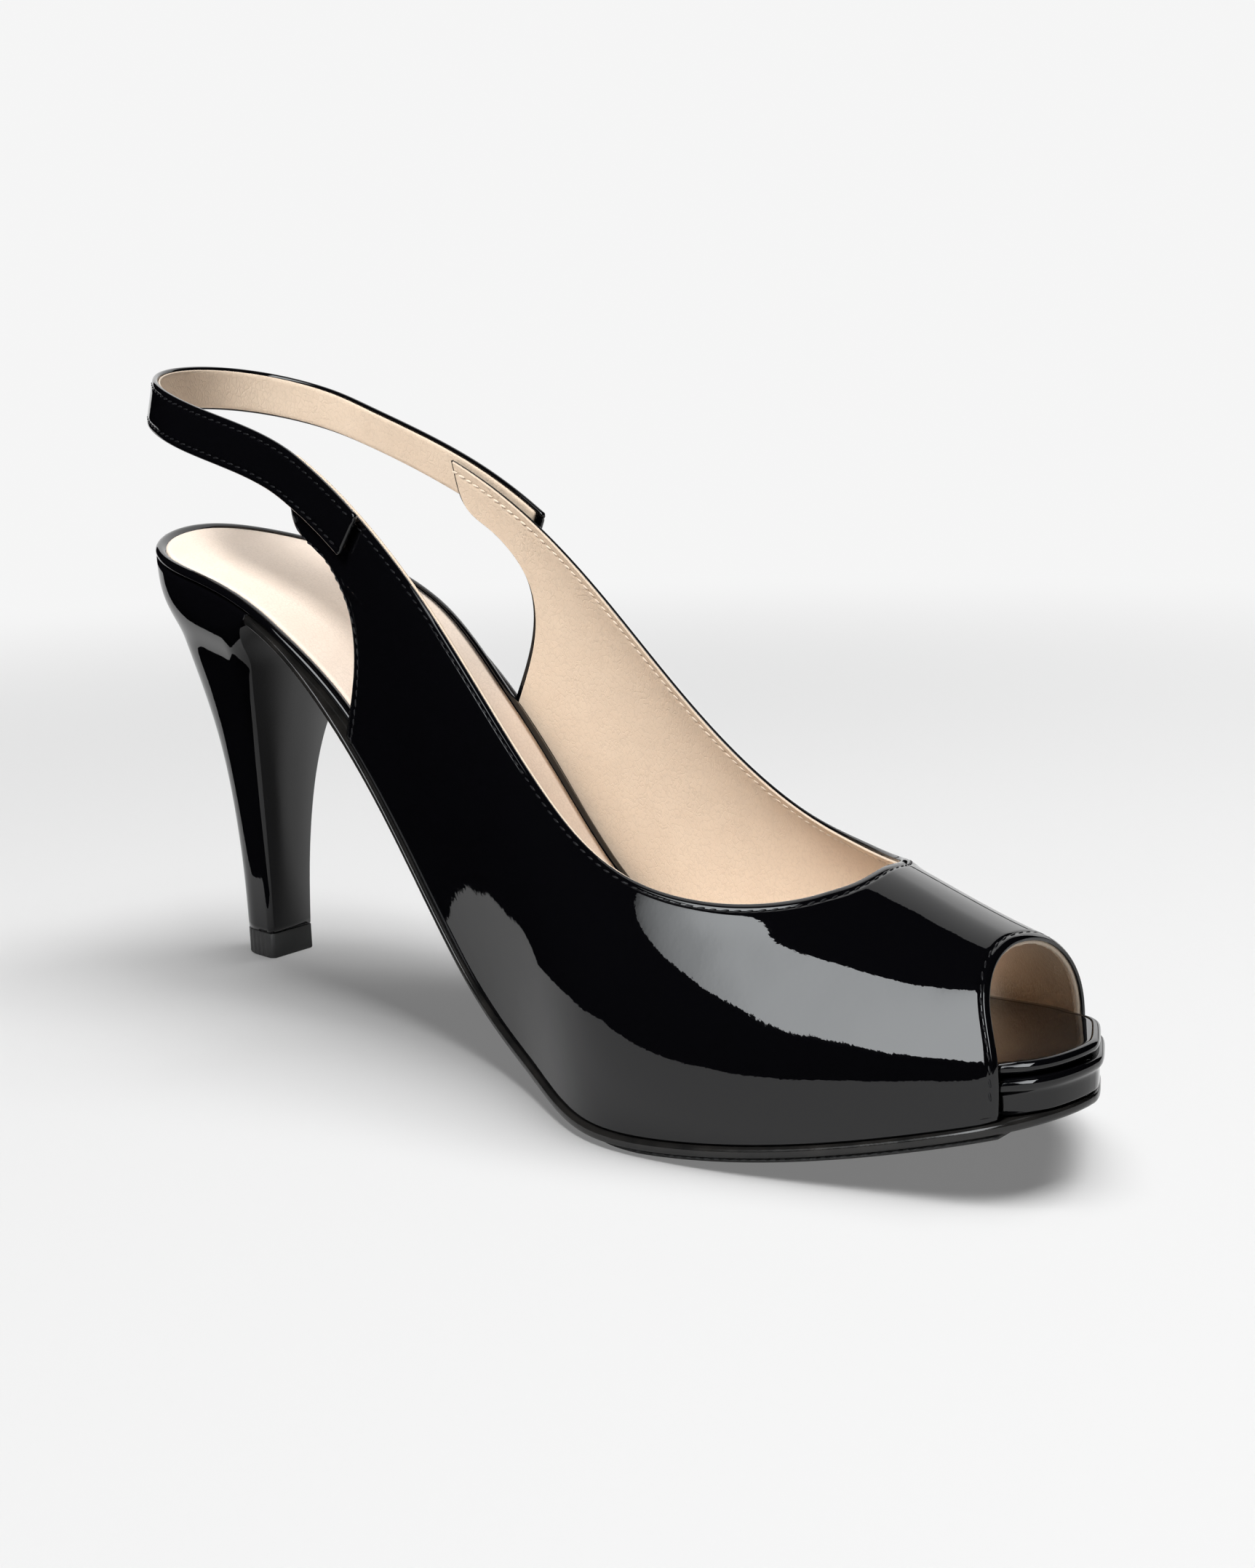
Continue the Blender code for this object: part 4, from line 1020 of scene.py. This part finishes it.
floor_paper, shader, tree = plain_material("floor_paper", {
    "Base Color": (0.80, 0.80, 0.80, 1.0), "Roughness": 0.9, "Specular IOR Level": 0.0})
place = add_node(tree, "ShaderNodeTexCoord")
distance = add_node(tree, "ShaderNodeVectorMath", {0: place.outputs["Object"]}, operation="LENGTH")
fade = add_node(tree, "ShaderNodeMapRange", {
    "Value": distance.outputs["Value"], "From Min": FADE_START, "From Max": FADE_END, "To Min": LEAST_GLOW},
    interpolation_type="SMOOTHSTEP")
glow = add_node(tree, "ShaderNodeEmission", {"Color": (BACKDROP, BACKDROP, BACKDROP, 1.0)})
blend = add_node(tree, "ShaderNodeMixShader", {
    0: fade.outputs["Result"], 1: shader.outputs["BSDF"], 2: glow.outputs["Emission"]})
feed(tree.nodes["Material Output"], {"Surface": blend.outputs["Shader"]})

# The floor is cut in two by a line in front of the shoe: patent leather does not mirror the part before it.
far = FLOOR_REACH
cut_line = [(-far, -0.04), (-0.07, -0.04), (-0.07, -0.20), (0.07, -0.20), (0.20, -0.42), (far, -0.42)]
floors = []
for name, corners in (("floor", cut_line + [(far, far), (-far, far)]),
                      ("floor_front", cut_line[::-1] + [(-far, -far), (far, -far)])):
    points = [(x, y, 0.0) for x, y in corners]
    floors.append(stage_mesh(name, points, [tuple(range(len(points)))], floor_paper))
floors[1].visible_glossy = False

# The softbox in columns: azimuth, lower and upper elevation, brightness.
SOFTBOX = ((-100.0, 40.0, 58.0, 0.8), (-97.5, 36.0, 61.0, 2.2), (-94.0, 32.5, 62.0, 3.5),
           (-91.0, 29.5, 61.0, 4.5), (-89.0, 27.0, 58.0, 5.2), (-87.5, 25.3, 56.5, 5.9),
           (-84.5, 21.5, 56.0, 7.2), (-83.0, 17.5, 56.0, 7.5), (-81.0, 14.5, 56.0, 7.8),
           (-77.0, 11.0, 56.0, 8.0))
SOFTBOX_END = ((-77.0, 11.0, 56.0, 8.0), (-68.0, 7.0, 56.0, 8.0), (-60.0, 4.0, 56.0, 8.0))
# The back wall in rows, elevation and brightness, between two azimuths.
BACK_WALL = ((2.0, 1.0), (38.0, 1.7), (77.0, 0.9))
BACK_WALL_SPAN = (88.0, 165.0)
cards = []
for name, columns in (("softbox", SOFTBOX), ("softbox_end", SOFTBOX_END)):
    azimuth, low, high, brightness = np.array(columns).T
    rows = [np.stack([azimuth, elevation, brightness], axis=-1) for elevation in (low, high)]
    cards.append(light_card(name, colour=(0.95, 0.98, 1.0), rows=rows))
wall_turn = np.linspace(*BACK_WALL_SPAN, 6)
rows = [[(azimuth, elevation, brightness) for azimuth in wall_turn] for elevation, brightness in BACK_WALL]
cards.append(light_card("back_wall", colour=(1.0, 1.0, 1.0), rows=rows))


def soft_lamp(name, azimuth, elevation, distance, size, power, lit):
    """A square lamp turned to the shoe that patent leather does not mirror, and the group that it lights."""
    away = Vector(sky_ray(azimuth, elevation))
    data = bpy.data.lights.new(name, "AREA")
    data.size = size
    data.energy = power
    lamp = bpy.data.objects.new(name, data)
    turn = away.to_track_quat("Z", "Y").to_matrix().to_4x4()
    lamp.matrix_world = Matrix.Translation(PIVOT + distance * away) @ turn
    lamp.visible_camera = False
    lamp.visible_glossy = False
    bpy.context.collection.objects.link(lamp)
    group = bpy.data.collections.new(name)
    for thing in lit:
        group.objects.link(thing)
    lamp.light_linking.receiver_collection = group


shoe = [thing for thing in bpy.context.scene.objects if thing.type == "MESH" and thing not in floors + cards]
soft_lamp("back_lamp", azimuth=80.0, elevation=78.0, distance=2.4, size=2.0, power=109.0, lit=floors)
soft_lamp("side_lamp", azimuth=-95.0, elevation=55.0, distance=1.2, size=0.45, power=23.5, lit=shoe)

world = bpy.data.worlds.new("white_room")
world.use_nodes = True
tree = world.node_tree
path = add_node(tree, "ShaderNodeLightPath")
seen = add_node(tree, "ShaderNodeMath", {
    0: path.outputs["Is Camera Ray"], 1: BACKDROP}, operation="MULTIPLY")
feed(tree.nodes["Background"], {"Color": (1.0, 1.0, 1.0, 1.0), "Strength": seen.outputs["Value"]})
bpy.context.scene.world = world
bpy.context.scene.view_settings.view_transform = "Standard"

# Camera: it stands where it stood for the photo, near the toe and a little above the shoe, and is turned and
# given a wider lens to take in the heel.
CAMERA_PLACE = (0.26141, -0.27379, 0.13666)
CAMERA_YAW, CAMERA_PITCH, CAMERA_ROLL = 132.0, 12.6, -1.55
CAMERA_LENS = 45.0
yaw, roll = math.radians(CAMERA_YAW), math.radians(CAMERA_ROLL)
forward = Vector(sky_ray(CAMERA_YAW, -CAMERA_PITCH))
level_right = Vector((math.sin(yaw), -math.cos(yaw), 0.0))
level_up = level_right.cross(forward)
right = math.cos(roll) * level_right + math.sin(roll) * level_up
up = math.cos(roll) * level_up - math.sin(roll) * level_right
camera_data = bpy.data.cameras.new("camera")
camera_data.lens = CAMERA_LENS
camera = bpy.data.objects.new("camera", camera_data)
camera.matrix_world = Matrix.Translation(CAMERA_PLACE) @ Matrix((right, up, -forward)).transposed().to_4x4()
bpy.context.collection.objects.link(camera)
bpy.context.scene.camera = camera
